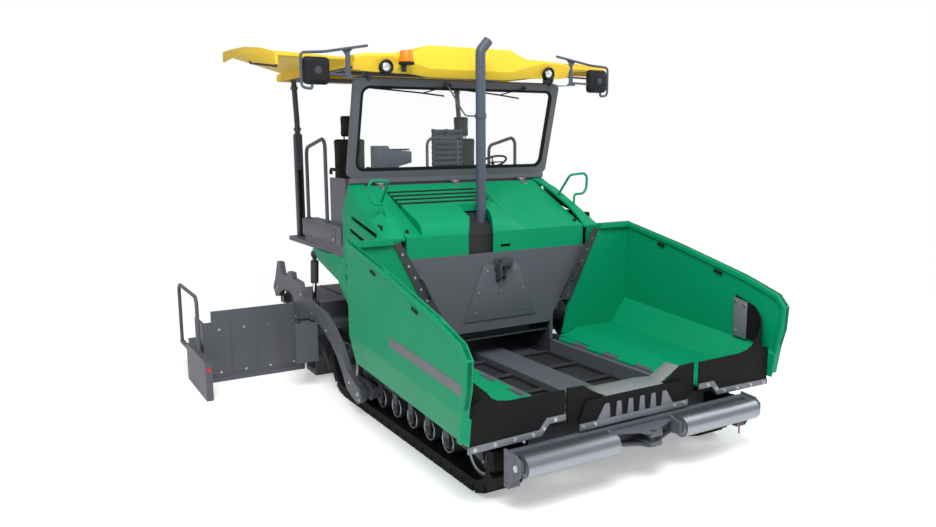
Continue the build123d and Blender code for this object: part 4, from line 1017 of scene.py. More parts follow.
@dataclass
class Cowls:
    """Green side cowls with their slots and loop handles."""

    inner_y: float = 1045.0
    outer_y: float = 1275.0
    skin: float = 25.0
    skirt_z: float = 1500.0
    shoulder_drop: float = 15.0
    # x, rise above the hood's plane, ridge's y, drop from the ridge to the side
    sections: tuple = (
        (-200, 0, 1205, 230), (120, 55, 1219, 150), (500, 65, 1236, 90), (680, 32, 1245, 55),
        (765, 0, 1250, 40),
    )
    side: tuple = (
        (-262, 1502), (765, 1502), (765, 760), (300, 760), (100, 850), (-62, 982), (-230, 1110),
        (-393, 1247),
    )
    arch: tuple = ((-1156, 1489), (-283, 1489), (-376, 1236), (-690, 1312), (-980, 1385))
    # x, z of the middle and length of each slot; their width and tilt in degrees
    louvres: tuple = (((320, 1862, 600), (255, 1740, 580), (200, 1622, 540)), 42.0, -13.0)
    holes: tuple = (((-93, 1533, 88), (-120, 1419, 88), (-140, 1298, 88)), 40.0, 82.0)
    # Painted shade behind the slots: where the near-black plate stands, x, y and z
    slot_shade: tuple = ((-180, 640), (1213, 1221), (1240, 1900))
    front: tuple = ((741, 764), (1087, 1249), (762, 1772))
    handle: tuple = (
        (262, 1065, 2050), (485, 1071, 2298), (506, 1247, 2313), (510, 1282, 2272), (501, 1282, 2145),
        (499, 1238, 2090), (480, 1134, 2090), (507, 1108, 1950),
    )

    def build(self) -> None:
        """Make both cowls."""
        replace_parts(self.shell().pair("cowl", GREEN)[0], "side_cowls")
        # Painted shade: a near-black plate inside the cowl fills the view through its slots
        Shape().box(*self.slot_shade).pair("cowl_slot_shade", PLASTIC)
        Shape().tube(self.handle, 13, 36).pair("cowl_handle", GREEN)
        Shape().box(*self.front).pair("cowl_front", GREEN)

    def slot_cutter(self, middle: Pair, length: float, width: float, tilt_deg: float) -> Shape:
        """Make one round-ended slot's cutter, tilted in the side view.

        Args:
            middle: The x and z of the slot's middle.
            length: Its length, ends included.
            width: Its width.
            tilt_deg: How far it is turned from level.

        Returns:
            The cutter.
        """
        x, z = middle
        tilt = math.radians(tilt_deg)
        reach = (length - width) / 2
        outline = []
        for end, turn in ((1, 0.0), (-1, math.pi)):
            for step in range(9):
                angle = tilt + turn + (step / 8 - 0.5) * math.pi
                run = end * math.cos(tilt) * reach + math.cos(angle) * width / 2
                rise = end * math.sin(tilt) * reach + math.sin(angle) * width / 2
                outline.append((x + run, z + rise))
        return Shape().prism(outline, "Y", self.outer_y - self.skin - 15, self.outer_y + 15)

    def shell(self) -> Shape:
        """Make one cowl's shaped top and side."""
        inner, drop_z, skin = self.outer_y - self.skin, self.shoulder_drop, self.skin
        rings = []
        for x, rise, ridge, drop in self.sections:
            top = hood_z(x)
            section = [
                (self.inner_y, top + rise), (self.inner_y + 100, top + rise), (ridge, top - drop_z),
                (self.outer_y, top - drop_z - drop), (self.outer_y, self.skirt_z), (inner, self.skirt_z),
                (inner, top - 22 - drop), (ridge - 20, top - drop_z - skin),
                (self.inner_y + 95, top + rise - skin), (self.inner_y, top + rise - skin),
            ]
            rings.append([(x, y, z) for y, z in section])
        shape = Shape().loft(rings)
        shape.combine(Shape().prism(self.side, "Y", inner, self.outer_y), "UNION")
        for slots, width, tilt_deg in (self.louvres, self.holes):
            for x, z, length in slots:
                shape.combine(self.slot_cutter((x, z), length, width, tilt_deg), "DIFFERENCE")
        shape.combine(Shape().prism(self.arch, "Y", inner, self.outer_y), "UNION")
        return shape.bevel(6, 2, 0.45)


# ---------------------------------------------------------------- hopper
@dataclass
class HopperFront:
    """Rubber aprons, comb, guard and the apron plate's fittings."""

    front_x: float = 2735.0
    rubber: float = 15.0
    strip: float = 12.0
    bend_y: float = 1392.0
    wing_inside_y: float = 1592.0
    # y, z of the flat apron
    outer_rubber: tuple = (
        (705, 560), (705, 826), (1201, 830), (1290, 845), (1350, 875), (1392, 925), (1470, 860),
        (1556, 835), (1556, 545), (921, 505), (850, 560),
    )
    # x, lowest z and highest z of the apron's rear end on the wing
    return_end: Point = (2345.0, 860.0, 1240.0)
    clamp_strip: tuple = (
        (1555, 500), (921, 510), (850, 592), (700, 592), (700, 640), (872, 640), (942, 560), (1555, 550),
    )
    clamp_bolts: tuple = ((1500, 526), (1330, 529), (1160, 532), (1000, 535), (905, 565), (800, 616))
    middle_rubber: tuple = ((320, 545), (320, 700), (504, 819), (662, 826), (662, 606), (655, 545))
    flap: tuple = ((-569, 480), (569, 480), (569, 540), (500, 702), (-500, 702), (-569, 540))
    comb_x: Pair = (2757.0, 2767.0)
    comb_bar: tuple = ((-569, 480), (569, 480), (569, 532), (-569, 532))
    tooth_pitch: float = 120.0
    guard_line: tuple = ((2380, 652), (2560, 714), (2742, 704))
    guard_half: float = 302.0
    guard_slope: tuple = ((300, 704), (300, 712), (504, 816), (504, 808))
    conveyor: tuple = ((780, 2370), (166, 601), (452.4, 454))
    plate_x: float = 765.0
    cover: tuple = ((-425, 908), (425, 908), (201, 1458), (-201, 1458))
    cover_bolts: tuple = (
        (-290, 985), (300, 985), (-260, 1190), (262, 1190), (-160, 1400), (165, 1400), (0, 1185),
    )
    hook_cheek: tuple = ((777, 1280), (777, 1490), (858, 1470), (858, 1330))
    hook_head: tuple = ((777, 850), (-34, 92), (1440, 1507))
    hook_foot: tuple = ((777, 792), (-80, 110), (1400, 1520))
    hook_line: tuple = ((825, 14, 1445), (825, 14, 1320), (790, 14, 1320))

    def build(self) -> None:
        """Make every piece of the hopper's front."""
        self.outer_aprons()
        self.middle()
        self.guard()
        Shape().box(*self.conveyor).both_sides().piece("conveyor_sheets", CAST)
        self.apron_fittings()

    def outer_aprons(self) -> None:
        """Make the outer rubber aprons, turned back along their wings, and their clamp strips."""
        near, body = self.front_x + 1, "wing_{side}"
        front = near + self.rubber
        reach = self.wing_inside_y - 1 - self.bend_y
        rings = []
        for step in range(13):
            angle = step / 12 * math.pi / 2
            low, high = 660 + 195 * math.sin(angle), 925 + 250 * step / 12
            rings.append(self.return_ring(front - reach, angle, reach, low, high))
        x, low, high = self.return_end
        far = self.bend_y + reach
        near_y = far - self.rubber
        rings.append([(x, far, low), (x, far, high), (x, near_y, high), (x, near_y, low)])
        aprons = Shape().prism(self.outer_rubber, "X", near, front).pair("outer_apron", RUBBER, body)
        for (side, _), apron in zip(SIDES, aprons):
            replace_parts(apron, f"wing_rubber_{side}")
        Shape().loft(rings).pair("apron_return", RUBBER, body)
        strip = Shape().prism(self.clamp_strip, "X", front, front + self.strip).bevel(2.5)
        strip.pair("clamp_strip", LIGHT_GREY, body)
        bolts = Shape()
        for y, z in self.clamp_bolts:
            bolts.bolt((front + self.strip, y, z), FORWARDS, 13)
        bolts.pair("clamp_bolts", ZINC, body)

    def return_ring(
        self, centre_x: float, angle: float, reach: float, low: float, high: float
    ) -> list[Point]:
        """Cut the apron's bend square to its sheet.

        Args:
            centre_x: The x of the bend's centre.
            angle: How far round the bend the cut lies.
            reach: The bend's outer radius.
            low: The sheet's lower edge.
            high: The sheet's upper edge.

        Returns:
            Four corners of the sheet's section.
        """
        outer, inner = (
            (centre_x + math.cos(angle) * radius, self.bend_y + math.sin(angle) * radius)
            for radius in (reach, reach - self.rubber)
        )
        return [(*outer, low), (*outer, high), (*inner, high), (*inner, low)]

    def middle(self) -> None:
        """Make the fixed middle rubber, the flap and the toothed comb."""
        back = self.front_x - self.rubber - 6
        rubber = Shape().prism(self.middle_rubber, "X", back, back + self.rubber).both_sides()
        rubber.prism(self.flap, "X", 2741, 2756)
        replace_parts(rubber.piece("middle_apron", RUBBER), "centre_rubber")
        comb = Shape().prism(self.comb_bar, "X", *self.comb_x)
        for count, root in enumerate((32, 32, 100)):
            middle = self.tooth_pitch * (count + 0.5)
            tooth = ((middle - 32, 531), (middle - 20, 653), (middle + 20, 653), (middle + root, 531))
            for way in (-1, 1):
                comb.prism([(way * y, z) for y, z in tooth], "X", *self.comb_x)
        comb.bevel(2).piece("front_comb", LIGHT_GREY)
        bolts = Shape()
        for y in (-530, -420, 420, 530):
            bolts.bolt((self.comb_x[1], y, 506), FORWARDS, 13)
        bolts.piece("comb_bolts", ZINC)

    def guard(self) -> None:
        """Make the wear plate over the conveyors' front guard."""
        plate = [*self.guard_line, *[(x, z + 8) for x, z in reversed(self.guard_line)]]
        guard = Shape().prism(plate, "Y", -self.guard_half, self.guard_half)
        for way in (-1, 1):
            guard.prism([(way * y, z) for y, z in self.guard_slope], "X", 2560, 2711)
        guard.bevel(2).piece("guard_plate", WEAR_PLATE)

    def apron_fittings(self) -> None:
        """Make the cover, hook and bolts of the plate behind the hopper."""
        x = self.plate_x
        Shape().prism(self.cover, "X", x, x + 12).bevel(3).piece("apron_cover", GREY)
        bracket = Shape().prism(self.hook_cheek, "Y", -64, -34).box(*self.hook_head).box(*self.hook_foot)
        bracket.bevel(4).piece("hook_bracket", DARK)
        Shape().tube(self.hook_line, 15, 40).piece("hook", CAST)
        bolts = Shape()
        for y, z in self.cover_bolts:
            bolts.bolt((x + 12, y, z), FORWARDS, 9)
        bolts.piece("apron_bolts", ZINC)


@dataclass
class WingTrim:
    """Folded edge, seal strip, film stripe and slots of a hopper wing."""

    outer_y: float = 1632.0
    # x, z of the wing's upper and front outline, from the rear to the foot
    outline: tuple = (
        (790, 1797), (1623, 1629), (2433, 1436), (2801, 1317), (2891, 1219), (2877, 1012), (2835, 860),
        (2794, 600),
    )
    inset: float = 52.0
    rear_edge: tuple = ((790, 855), (1200, 1592), (1744, 1797))
    # y, z of the strip against the plate behind the hopper
    seal: tuple = ((703, 1030), (831, 1016), (1193, 1736), (1125, 1763))
    seal_x: Pair = (820.5, 830.0)
    seal_bolts: tuple = (0.06, 0.22, 0.38, 0.54, 0.7, 0.86)
    stripe: tuple = ((1666, 1125), (2808, 1035), (2822, 950), (1666, 1043))
    slots: tuple = ((1361, 1600), (2123, 1425))
    slot_radius: float = 14.0
    slot_reach: float = 42.0
    slot_tilt: float = -0.22
    clamp: tuple = ((2335, 860), (2490, 850), (2490, 1195), (2335, 1225))
    clamp_y: Pair = (1564.0, 1576.0)
    clamp_bolts: tuple = ((2360, 905), (2360, 1185), (2465, 905), (2465, 1160))
    handle: tuple = ((830, 840, 1215), (872, 840, 1215), (872, 925, 1395), (830, 925, 1395))

    def build(self) -> None:
        """Make the trim of both wings."""
        body = "wing_{side}"
        outline = [*self.outline, *reversed(self.inner_line())]
        edge = Shape().prism(outline, "Y", self.outer_y - 56, self.outer_y + 4).bevel(9, 3, 0.6)
        edge.box(*self.rear_edge).pair("wing_edge", GREEN, body)
        Shape().prism(self.seal, "X", *self.seal_x).pair("seal_strip", DARK, body)
        stripe = Shape().prism(self.stripe, "Y", self.outer_y + 0.5, self.outer_y + 2.5)
        stripe.pair("wing_stripe", STRIPE, body)
        # Painted shade: near-black faces on the wing stand for the lifting slots' openings
        self.lifting_slot_shade().pair("lifting_slot_shade", PLASTIC, body)
        bolts = Shape()
        for share in self.seal_bolts:
            bolts.bolt((self.seal_x[1], 775 + 385 * share, 1030 + 715 * share), FORWARDS, 9)
        for x, z in self.clamp_bolts:
            bolts.bolt((x, self.clamp_y[0], z), (0, -1, 0), 12)
        bolts.pair("wing_bolts", ZINC, body)
        Shape().prism(self.clamp, "Y", *self.clamp_y).bevel(8, 3).pair("wing_clamp", LIGHT_GREY, body)
        Shape().tube(self.handle, 9, 24).pair("strip_handle", CAST, body)

    def inner_line(self) -> list[Pair]:
        """Offset the outline inwards by the folded edge's width."""
        line = [Vector(pair) for pair in self.outline]
        moved = []
        for place, point in enumerate(line):
            along = (line[min(place + 1, len(line) - 1)] - line[max(place - 1, 0)]).normalized()
            moved.append(tuple(point + Vector((along.y, -along.x)) * self.inset))
        return moved

    def lifting_slot_shade(self) -> Shape:
        """Make near-black faces, outside and inside, that paint the shade of the lifting slots' openings."""
        slots = Shape()
        radius = self.slot_radius
        run, rise = math.cos(self.slot_tilt) * self.slot_reach, math.sin(self.slot_tilt) * self.slot_reach
        for x, z in self.slots:
            ends = ((x - run, z - rise), (x + run, z + rise))
            corners = [(end_x, end_z - radius) for end_x, end_z in ends]
            corners += [(end_x, end_z + radius) for end_x, end_z in reversed(ends)]
            for y in (self.outer_y + 4, self.outer_y - 58):
                for end_x, end_z in ends:
                    slots.bar((end_x, y, end_z), (end_x, y + 2, end_z), radius, sides=16)
                slots.prism(corners, "Y", y, y + 2)
        return slots


# ---------------------------------------------------------------- windscreen, stack and mirrors
@dataclass
class Windscreen:
    """Gasket and wipers of the windscreen, and the roof's brackets beside it."""

    foot: Pair = (-179.0, 2300.0)
    lean_deg: float = 15.0
    height: float = 1010.0
    half_width: float = 1215.0
    # inset from the frame, corner radius, height over the frame
    gasket: tuple = ((72, 96, 2), (100, 70, 2), (100, 70, -24), (84, 86, -24))
    # y, up: arm's pivot on the header, its joint on the blade, and the blade's two ends
    wipers: tuple = (
        ((-180, 962), (-480, 885), (-1085, 920), (-230, 855)),
        ((740, 962), (440, 885), (18, 920), (690, 850)),
    )
    bracket: tuple = ((30, 1075, 3240), (150, 1075, 3300), (150, 1075, 3440))

    def on_screen(self, y: float, up: float, out: float = 0.0) -> Point:
        """Place of a point on the leaning screen.

        Args:
            y: Across the machine.
            up: Along the screen from its foot.
            out: Forwards, square to the screen.

        Returns:
            Its place.
        """
        lean = math.radians(self.lean_deg)
        x = self.foot[0] + up * math.sin(lean) + out * math.cos(lean)
        return x, y, self.foot[1] + up * math.cos(lean) - out * math.sin(lean)

    def rounded(self, inset: float, radius: float, out: float) -> list[Point]:
        """Make a ring of points round the opening, its corners rounded.

        Args:
            inset: How far inside the frame's outline it runs.
            radius: Its corners' radius.
            out: Forwards, square to the screen.

        Returns:
            The ring's points.
        """
        wide, low, high = self.half_width - inset - radius, inset + radius, self.height - inset - radius
        ring = []
        for y, up, first in ((wide, high, 0), (-wide, high, 90), (-wide, low, 180), (wide, low, 270)):
            for step in range(7):
                angle = math.radians(first + step * 15)
                ring.append(self.on_screen(y + math.cos(angle) * radius, up + math.sin(angle) * radius, out))
        return ring

    def build(self) -> None:
        """Make the gasket, the wipers and the brackets."""
        rings = [self.rounded(*place) for place in self.gasket]
        Shape().loft(rings, closed=True).piece("screen_gasket", RUBBER)
        arms, blades = Shape(), Shape()
        for pivot, joint, start, end in self.wipers:
            arms.tube([self.on_screen(*pivot, 22), self.on_screen(*joint, 26)], 6, 1)
            arms.bar(self.on_screen(*pivot, 0), self.on_screen(*pivot, 34), 16)
            line = (start, (joint[0], joint[1] - 4), end)
            blades.tube([self.on_screen(*place, 14) for place in line], 8, 200)
        arms.piece("wiper_arms", PLASTIC)
        blades.piece("wiper_blades", RUBBER)
        header = Shape()
        for way in (-1, 1):
            header.tube([(x, way * y, z) for x, y, z in self.bracket], 16, 60)
        header.piece("roof_brackets", DARK)


@dataclass
class Stack:
    """Clamps, stay, bellows and open end of the exhaust stack."""

    x: float = 486.0
    y: float = -54.0
    radius: float = 50.0
    clamp_z: Pair = (1735.0, 2912.0)
    stay: tuple = ((434, -74, 2912), (400, -179, 2912), (88, -213, 3240))
    stay_foot: tuple = ((70, 92), (-232, -194), (3222, 3258))
    bellows_z: tuple = (1560, 1640, 1700)
    bellows_profile: tuple = ((50.5, -8), (56, -4), (56, 4), (50.5, 8), (50.5, -8))
    bore_profile: tuple = ((0, 0.6), (44, 0.6), (44, 2), (0, 2))
    mouth: Point = (486.0, 36.0, 3640.0)
    mouth_way: Point = (0.0, 90.0, 100.0)

    def build(self) -> None:
        """Make the clamps, the stay, the bellows and a near-black disc in the open end that paints the shade
        inside the pipe.
        """
        near, far = self.radius + 0.5, self.radius + 8
        clamps = Shape()
        for z in self.clamp_z:
            band = ((near, -22), (far, -22), (far, 22), (near, 22), (near, -22))
            clamps.turned(band, (self.x, self.y, z), UPWARDS)
        y, z = self.y - 70, self.clamp_z[1]
        clamps.tube(self.stay, 8, 40).box(*self.stay_foot).bar((self.x - 14, y, z), (self.x + 14, y, z), 7)
        clamps.piece("stack_clamps", BLUE_GREY)
        rings = Shape()
        for z in self.bellows_z:
            rings.turned(self.bellows_profile, (self.x, self.y, z), UPWARDS)
        rings.piece("stack_bellows", STEEL)
        # Painted shade: a near-black disc just inside the mouth stands for the pipe's shaded inside
        out = Vector(self.mouth_way).normalized()
        bore = Shape().turned(self.bore_profile, tuple(Vector(self.mouth) - out * 0.5), tuple(out))
        bore.piece("stack_bore_shade", RUBBER, slot="cast")


@dataclass
class Mirrors:
    """Mirror housings on their arms."""

    y: float = 1641.0
    z: float = 3315.0
    face_x: float = 176.0
    half: Pair = (125.0, 126.0)
    corner: float = 42.0
    # distance behind the face, share of the full outline
    housing: tuple = ((0, 0.98), (12, 1.0), (55, 0.95), (82, 0.7))
    glass: tuple = ((-4, 0.86), (1, 0.88))
    bezel: tuple = ((-2, 0.99), (2, 0.99))
    boss_profile: tuple = ((0, 0), (36, 0), (32, 6), (0, 8))
    arm: tuple = (
        (165, 1110, 3568), (190, 1560, 3488), (215, 1790, 3470), (215, 1790, 3160), (215, 1690, 3150),
        (215, 1690, 3200),
    )
    stay: tuple = ((160, 1330, 3292), (205, 1545, 3280))
    bracket: tuple = (
        (1290, 3290), (1255, 3262), (1140, 3262), (1140, 3248), (1372, 3262), (1372, 3280), (1340, 3300),
        (1335, 3470), (1375, 3530), (1240, 3552), (1290, 3500),
    )
    bracket_x: Pair = (150.0, 166.0)

    def build(self) -> None:
        """Make both mirrors."""
        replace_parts(self.layers(self.housing).pair("mirror_housing", PLASTIC)[0], "mirror_boxes")
        self.layers(self.glass).pair("mirror_glass", MIRROR)
        self.layers(self.bezel).pair("mirror_bezel", PLASTIC)
        back = (self.face_x + self.housing[-1][0], self.y, self.z)
        Shape().turned(self.boss_profile, back, FORWARDS, 24).pair("mirror_boss", DARK)
        arm = Shape().tube(self.arm, 13, 45).tube(self.stay, 11, 1)
        arm.prism(self.bracket, "X", *self.bracket_x).bevel(2, 1).pair("mirror_arm", BLUE_GREY)

    def layers(self, sections: tuple) -> Shape:
        """Loft rounded square rings.

        Args:
            sections: Each ring's distance behind the face and share of the outline.

        Returns:
            The lofted shape.
        """
        return Shape().loft([self.ring(self.face_x + behind, share) for behind, share in sections])

    def ring(self, x: float, share: float) -> list[Point]:
        """Make the housing's rounded square outline.

        Args:
            x: Where it stands.
            share: Its size against the full outline.

        Returns:
            The ring's points.
        """
        radius = self.corner * share
        wide, high = (half * share - radius for half in self.half)
        ring = []
        for y, z, first in ((wide, high, 0), (-wide, high, 90), (-wide, -high, 180), (wide, -high, 270)):
            for step in range(6):
                angle = math.radians(first + step * 18)
                across, up = math.cos(angle) * radius, math.sin(angle) * radius
                ring.append((x, self.y + y + across, self.z + z + up))
        return ring


# ---------------------------------------------------------------- operator's place
@dataclass
class Cab:
    """Seats, consoles, rails and deck ribs of the operator's platform."""

    seat_x: float = -1000.0
    seat_y: float = 740.0
    deck_z: float = 1540.0
    # half width, lowest z, highest z
    pedestal: tuple = ((170, 1540, 1700), (120, 1690, 2000), (190, 1985, 2080))
    # y, z of the operating panel's face
    panel: tuple = (
        (-774, 2330), (-560, 2330), (-520, 2400), (-366, 2440), (-366, 2560), (-620, 2580), (-640, 2621),
        (-774, 2621),
    )
    panel_x: Pair = (-620.0, -430.0)
    panel_column: tuple = ((-580, -450), (-774, -560), (1540, 2330))
    key_start: Pair = (-560.0, -590.0)
    key_pitch: Pair = (60.0, 38.0)
    key_size: Pair = (30.0, 24.0)
    key_z: Pair = (2570.0, 2588.0)
    slats_z: tuple = (2340, 2400, 2460, 2520, 2580, 2640, 2700, 2760)
    slat: tuple = ((-620, -560), (-30, 340))
    slat_height: float = 34.0
    uprights: tuple = (
        ((-612, -568), (-30, -10), (2340, 2800)), ((-612, -568), (320, 340), (2340, 2800)),
        ((-612, -568), (140, 160), (2340, 2800)), ((-604, -596), (-20, 330), (2345, 2795)),
    )
    stand_foot: tuple = ((-660, -520), (60, 250), (1540, 2340))
    hand_rail: tuple = ((-400, -198, 1540), (-400, -198, 2697), (-400, 184, 2697), (-400, 184, 1540))
    wheel: Point = (-560.0, 740.0, 2420.0)
    wheel_radius: float = 165.0
    wheel_grip: float = 13.0
    spoke: float = 160.0
    spoke_deg: tuple = (90, 210, 330)
    steering_column: tuple = ((-540, -440), (690, 790), (1540, 2320))
    seat_post: tuple = (-1290, 2690, 2740)
    seat_arm: tuple = ((-1290, 2300), (-1290, 2360), (-1000, 2350))
    strip: tuple = ((-1440, -420), (1276, 1281), (1635, 1785))
    rail_foot: tuple = ((20.5, 0), (38, 0), (38, 8), (24, 14), (20.5, 14), (20.5, 0))
    deck_rib: tuple = ((-2000, -300), (-1140, -1120), (1540.5, 1545))
    deck_rib_pitch: float = 360.0

    def build(self) -> None:
        """Make everything on the platform."""
        self.pedestals()
        self.operating_panel()
        self.instrument_stand()
        self.steering()
        self.seats()
        self.side_panels()

    def pedestals(self) -> None:
        """Make the seats' pedestals."""
        shape = Shape()
        for way in (-1, 1):
            y = way * self.seat_y
            for half, low, high in self.pedestal:
                shape.box((self.seat_x - half, self.seat_x + half), (y - half, y + half), (low, high))
        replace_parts(shape.bevel(14, 2).piece("seat_pedestals", DARK), "operator_consoles")

    def operating_panel(self) -> None:
        """Make the operating panel with its keys, and its column."""
        panel = Shape().prism(self.panel, "X", *self.panel_x).bevel(12, 2)
        panel.piece("operating_panel", BLUE_GREY, slot="grey_plastic")
        Shape().box(*self.panel_column).bevel(14, 2).piece("panel_column", BLUE_GREY)
        keys = Shape()
        for row in range(2):
            for place in range(6):
                x = self.key_start[0] + row * self.key_pitch[0]
                y = self.key_start[1] + place * self.key_pitch[1]
                keys.box((x, x + self.key_size[0]), (y, y + self.key_size[1]), self.key_z)
        keys.bevel(3).piece("panel_keys", PLASTIC)

    def instrument_stand(self) -> None:
        """Make the slatted instrument stand, its foot and the rail in front."""
        stand = Shape()
        for z in self.slats_z:
            stand.box(*self.slat, (z, z + self.slat_height))
        for upright in self.uprights:
            stand.box(*upright)
        stand.bevel(5, 2).piece("instrument_stand", BLUE_GREY)
        Shape().box(*self.stand_foot).bevel(14, 2).piece("stand_foot", BLUE_GREY)
        Shape().tube(self.hand_rail, 16, 90).piece("front_hand_rail", BLUE_GREY)

    def steering(self) -> None:
        """Make the steering wheel and its column."""
        x, y, z = self.wheel
        rim = []
        for step in range(11):
            turn = step * math.pi / 5
            out, up = math.cos(turn) * self.wheel_grip, math.sin(turn) * self.wheel_grip
            rim.append((self.wheel_radius + out, up))
        wheel = Shape().turned(rim, self.wheel, (-0.45, 0, 0.9), 36)
        wheel.bar((x + 60, y, z - 120), (x, y, z + 2), 18)
        for angle in self.spoke_deg:
            turn = math.radians(angle)
            run = math.cos(turn) * self.spoke
            wheel.bar(self.wheel, (x + run * 0.9, y + math.sin(turn) * self.spoke, z + run * 0.45), 9, 7, 12)
        wheel.piece("steering_wheel", PLASTIC)
        Shape().box(*self.steering_column).bevel(18, 2).piece("steering_column", BLUE_GREY)

    def seats(self) -> None:
        """Make the padded seats with their arms and headrest posts."""
        pads = (
            ("cushion", Pad((-1232, -768), 228, (2092, 2188), 34)),
            ("backrest", Pad((-1326, -1246), 190, (2112, 2705), 30)),
            ("headrest", Pad((-1316, -1264), 100, (2722, 2958), 22)),
        )
        for name, pad in pads:
            grown = pad.mesh()
            for side, way in SIDES:
                self.pad_piece(f"seat_{name}_{side}", grown.copy(), way * self.seat_y)
            grown.free()
        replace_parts(bpy.data.objects["seat_cushion_left"], "seat_cushions")
        frames = Shape()
        x, low, high = self.seat_post
        for way in (-1, 1):
            y = way * self.seat_y
            for offset in (-60, 60):
                frames.bar((x, y + offset, low), (x, y + offset, high), 8)
            for offset in (-232, 208):
                frames.tube([(at_x, y + offset, z) for at_x, z in self.seat_arm], 18, 60)
        frames.piece("seat_arms", PLASTIC)

    def pad_piece(self, name: str, mesh: bmesh.types.BMesh, y: float) -> None:
        """Finish one padded piece of a seat.

        Args:
            name: Its name.
            mesh: Its shape, in metres, in the machine's middle; it is freed.
            y: Where its seat stands.
        """
        for vert in mesh.verts:
            vert.co.y += y * MM
        for face in mesh.faces:
            face.smooth = True
        made = mesh_piece(name, mesh)
        made.data.materials.append(VINYL.material())
        smooth = made.modifiers.new("smooth", "SUBSURF")
        smooth.levels = 1
        smooth.render_levels = 1
        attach(made, "tractor")
        log.info("made %s", name)

    def side_panels(self) -> None:
        """Make the platform's side strips, rail feet, bolts and deck ribs."""
        feet, bolts = Shape(), Shape()
        for x in (-1400, -800):
            feet.turned(self.rail_foot, (x, 1215, 1805), UPWARDS)
        for x in (-1400, -460):
            bolts.bolt((x, 1281, 1655), OUTWARDS, 8)
        Shape().box(*self.strip).bevel(2).both_sides().piece("side_strips", GREY)
        feet.both_sides().piece("rail_feet", BLUE_GREY)
        bolts.both_sides().piece("side_bolts", ZINC)
        ribs = Shape()
        x_range, (near, far), z_range = self.deck_rib
        for row in range(7):
            step = row * self.deck_rib_pitch
            ribs.box(x_range, (near + step, far + step), z_range)
        ribs.piece("deck_ribs", DARK)


@dataclass
class Pad:
    """One padded seat part, blown up as cloth."""

    x_range: Pair
    half: float
    z_range: Pair
    corner: float
    pressure: float = 4.0
    frames: int = 20
    cap_mm: float = 11.0
    voxel_mm: float = 12.0

    def mesh(self) -> bmesh.types.BMesh:
        """Return the pad's mesh in metres, across the machine's middle."""
        shape = Shape().box(self.x_range, (-self.half, self.half), self.z_range).bevel(self.corner, 4)
        shape.clean()
        bmesh.ops.scale(shape.mesh, vec=(MM, MM, MM), verts=shape.mesh.verts)
        helper = mesh_piece("pad_work", shape.mesh)
        remesh = helper.modifiers.new("remesh", "REMESH")
        remesh.mode = "VOXEL"
        remesh.voxel_size = self.voxel_mm * MM
        rest = bpy.data.meshes.new_from_object(helper.evaluated_get(bpy.context.evaluated_depsgraph_get()))
        helper.modifiers.remove(remesh)
        helper.data = rest
        result = self.blown(helper, rest)
        bpy.data.objects.remove(helper)
        return result

    def blown(self, helper: bpy.types.Object, rest: bpy.types.Mesh) -> bmesh.types.BMesh:
        """Blow the pad up as cloth and cap how far it swells.

        Args:
            helper: The object that carries the cloth.
            rest: Its mesh before it is blown.

        Returns:
            The blown mesh.
        """
        cloth = helper.modifiers.new("cloth", "CLOTH")
        cloth.settings.use_pressure = True
        cloth.settings.uniform_pressure_force = self.pressure
        cloth.settings.effector_weights.gravity = 0.0
        cloth.point_cache.frame_end = self.frames
        scene = bpy.context.scene
        for frame_number in range(1, self.frames + 1):
            scene.frame_set(frame_number)
        evaluated = helper.evaluated_get(bpy.context.evaluated_depsgraph_get())
        places = [vert.co.copy() for vert in evaluated.data.vertices]
        result = bmesh.new()
        result.from_mesh(rest)
        cap = self.cap_mm * MM
        for vert, place in zip(result.verts, places):
            move = place - vert.co
            if move.length > cap:
                move *= cap / move.length
            vert.co += move
        scene.frame_set(1)
        return result


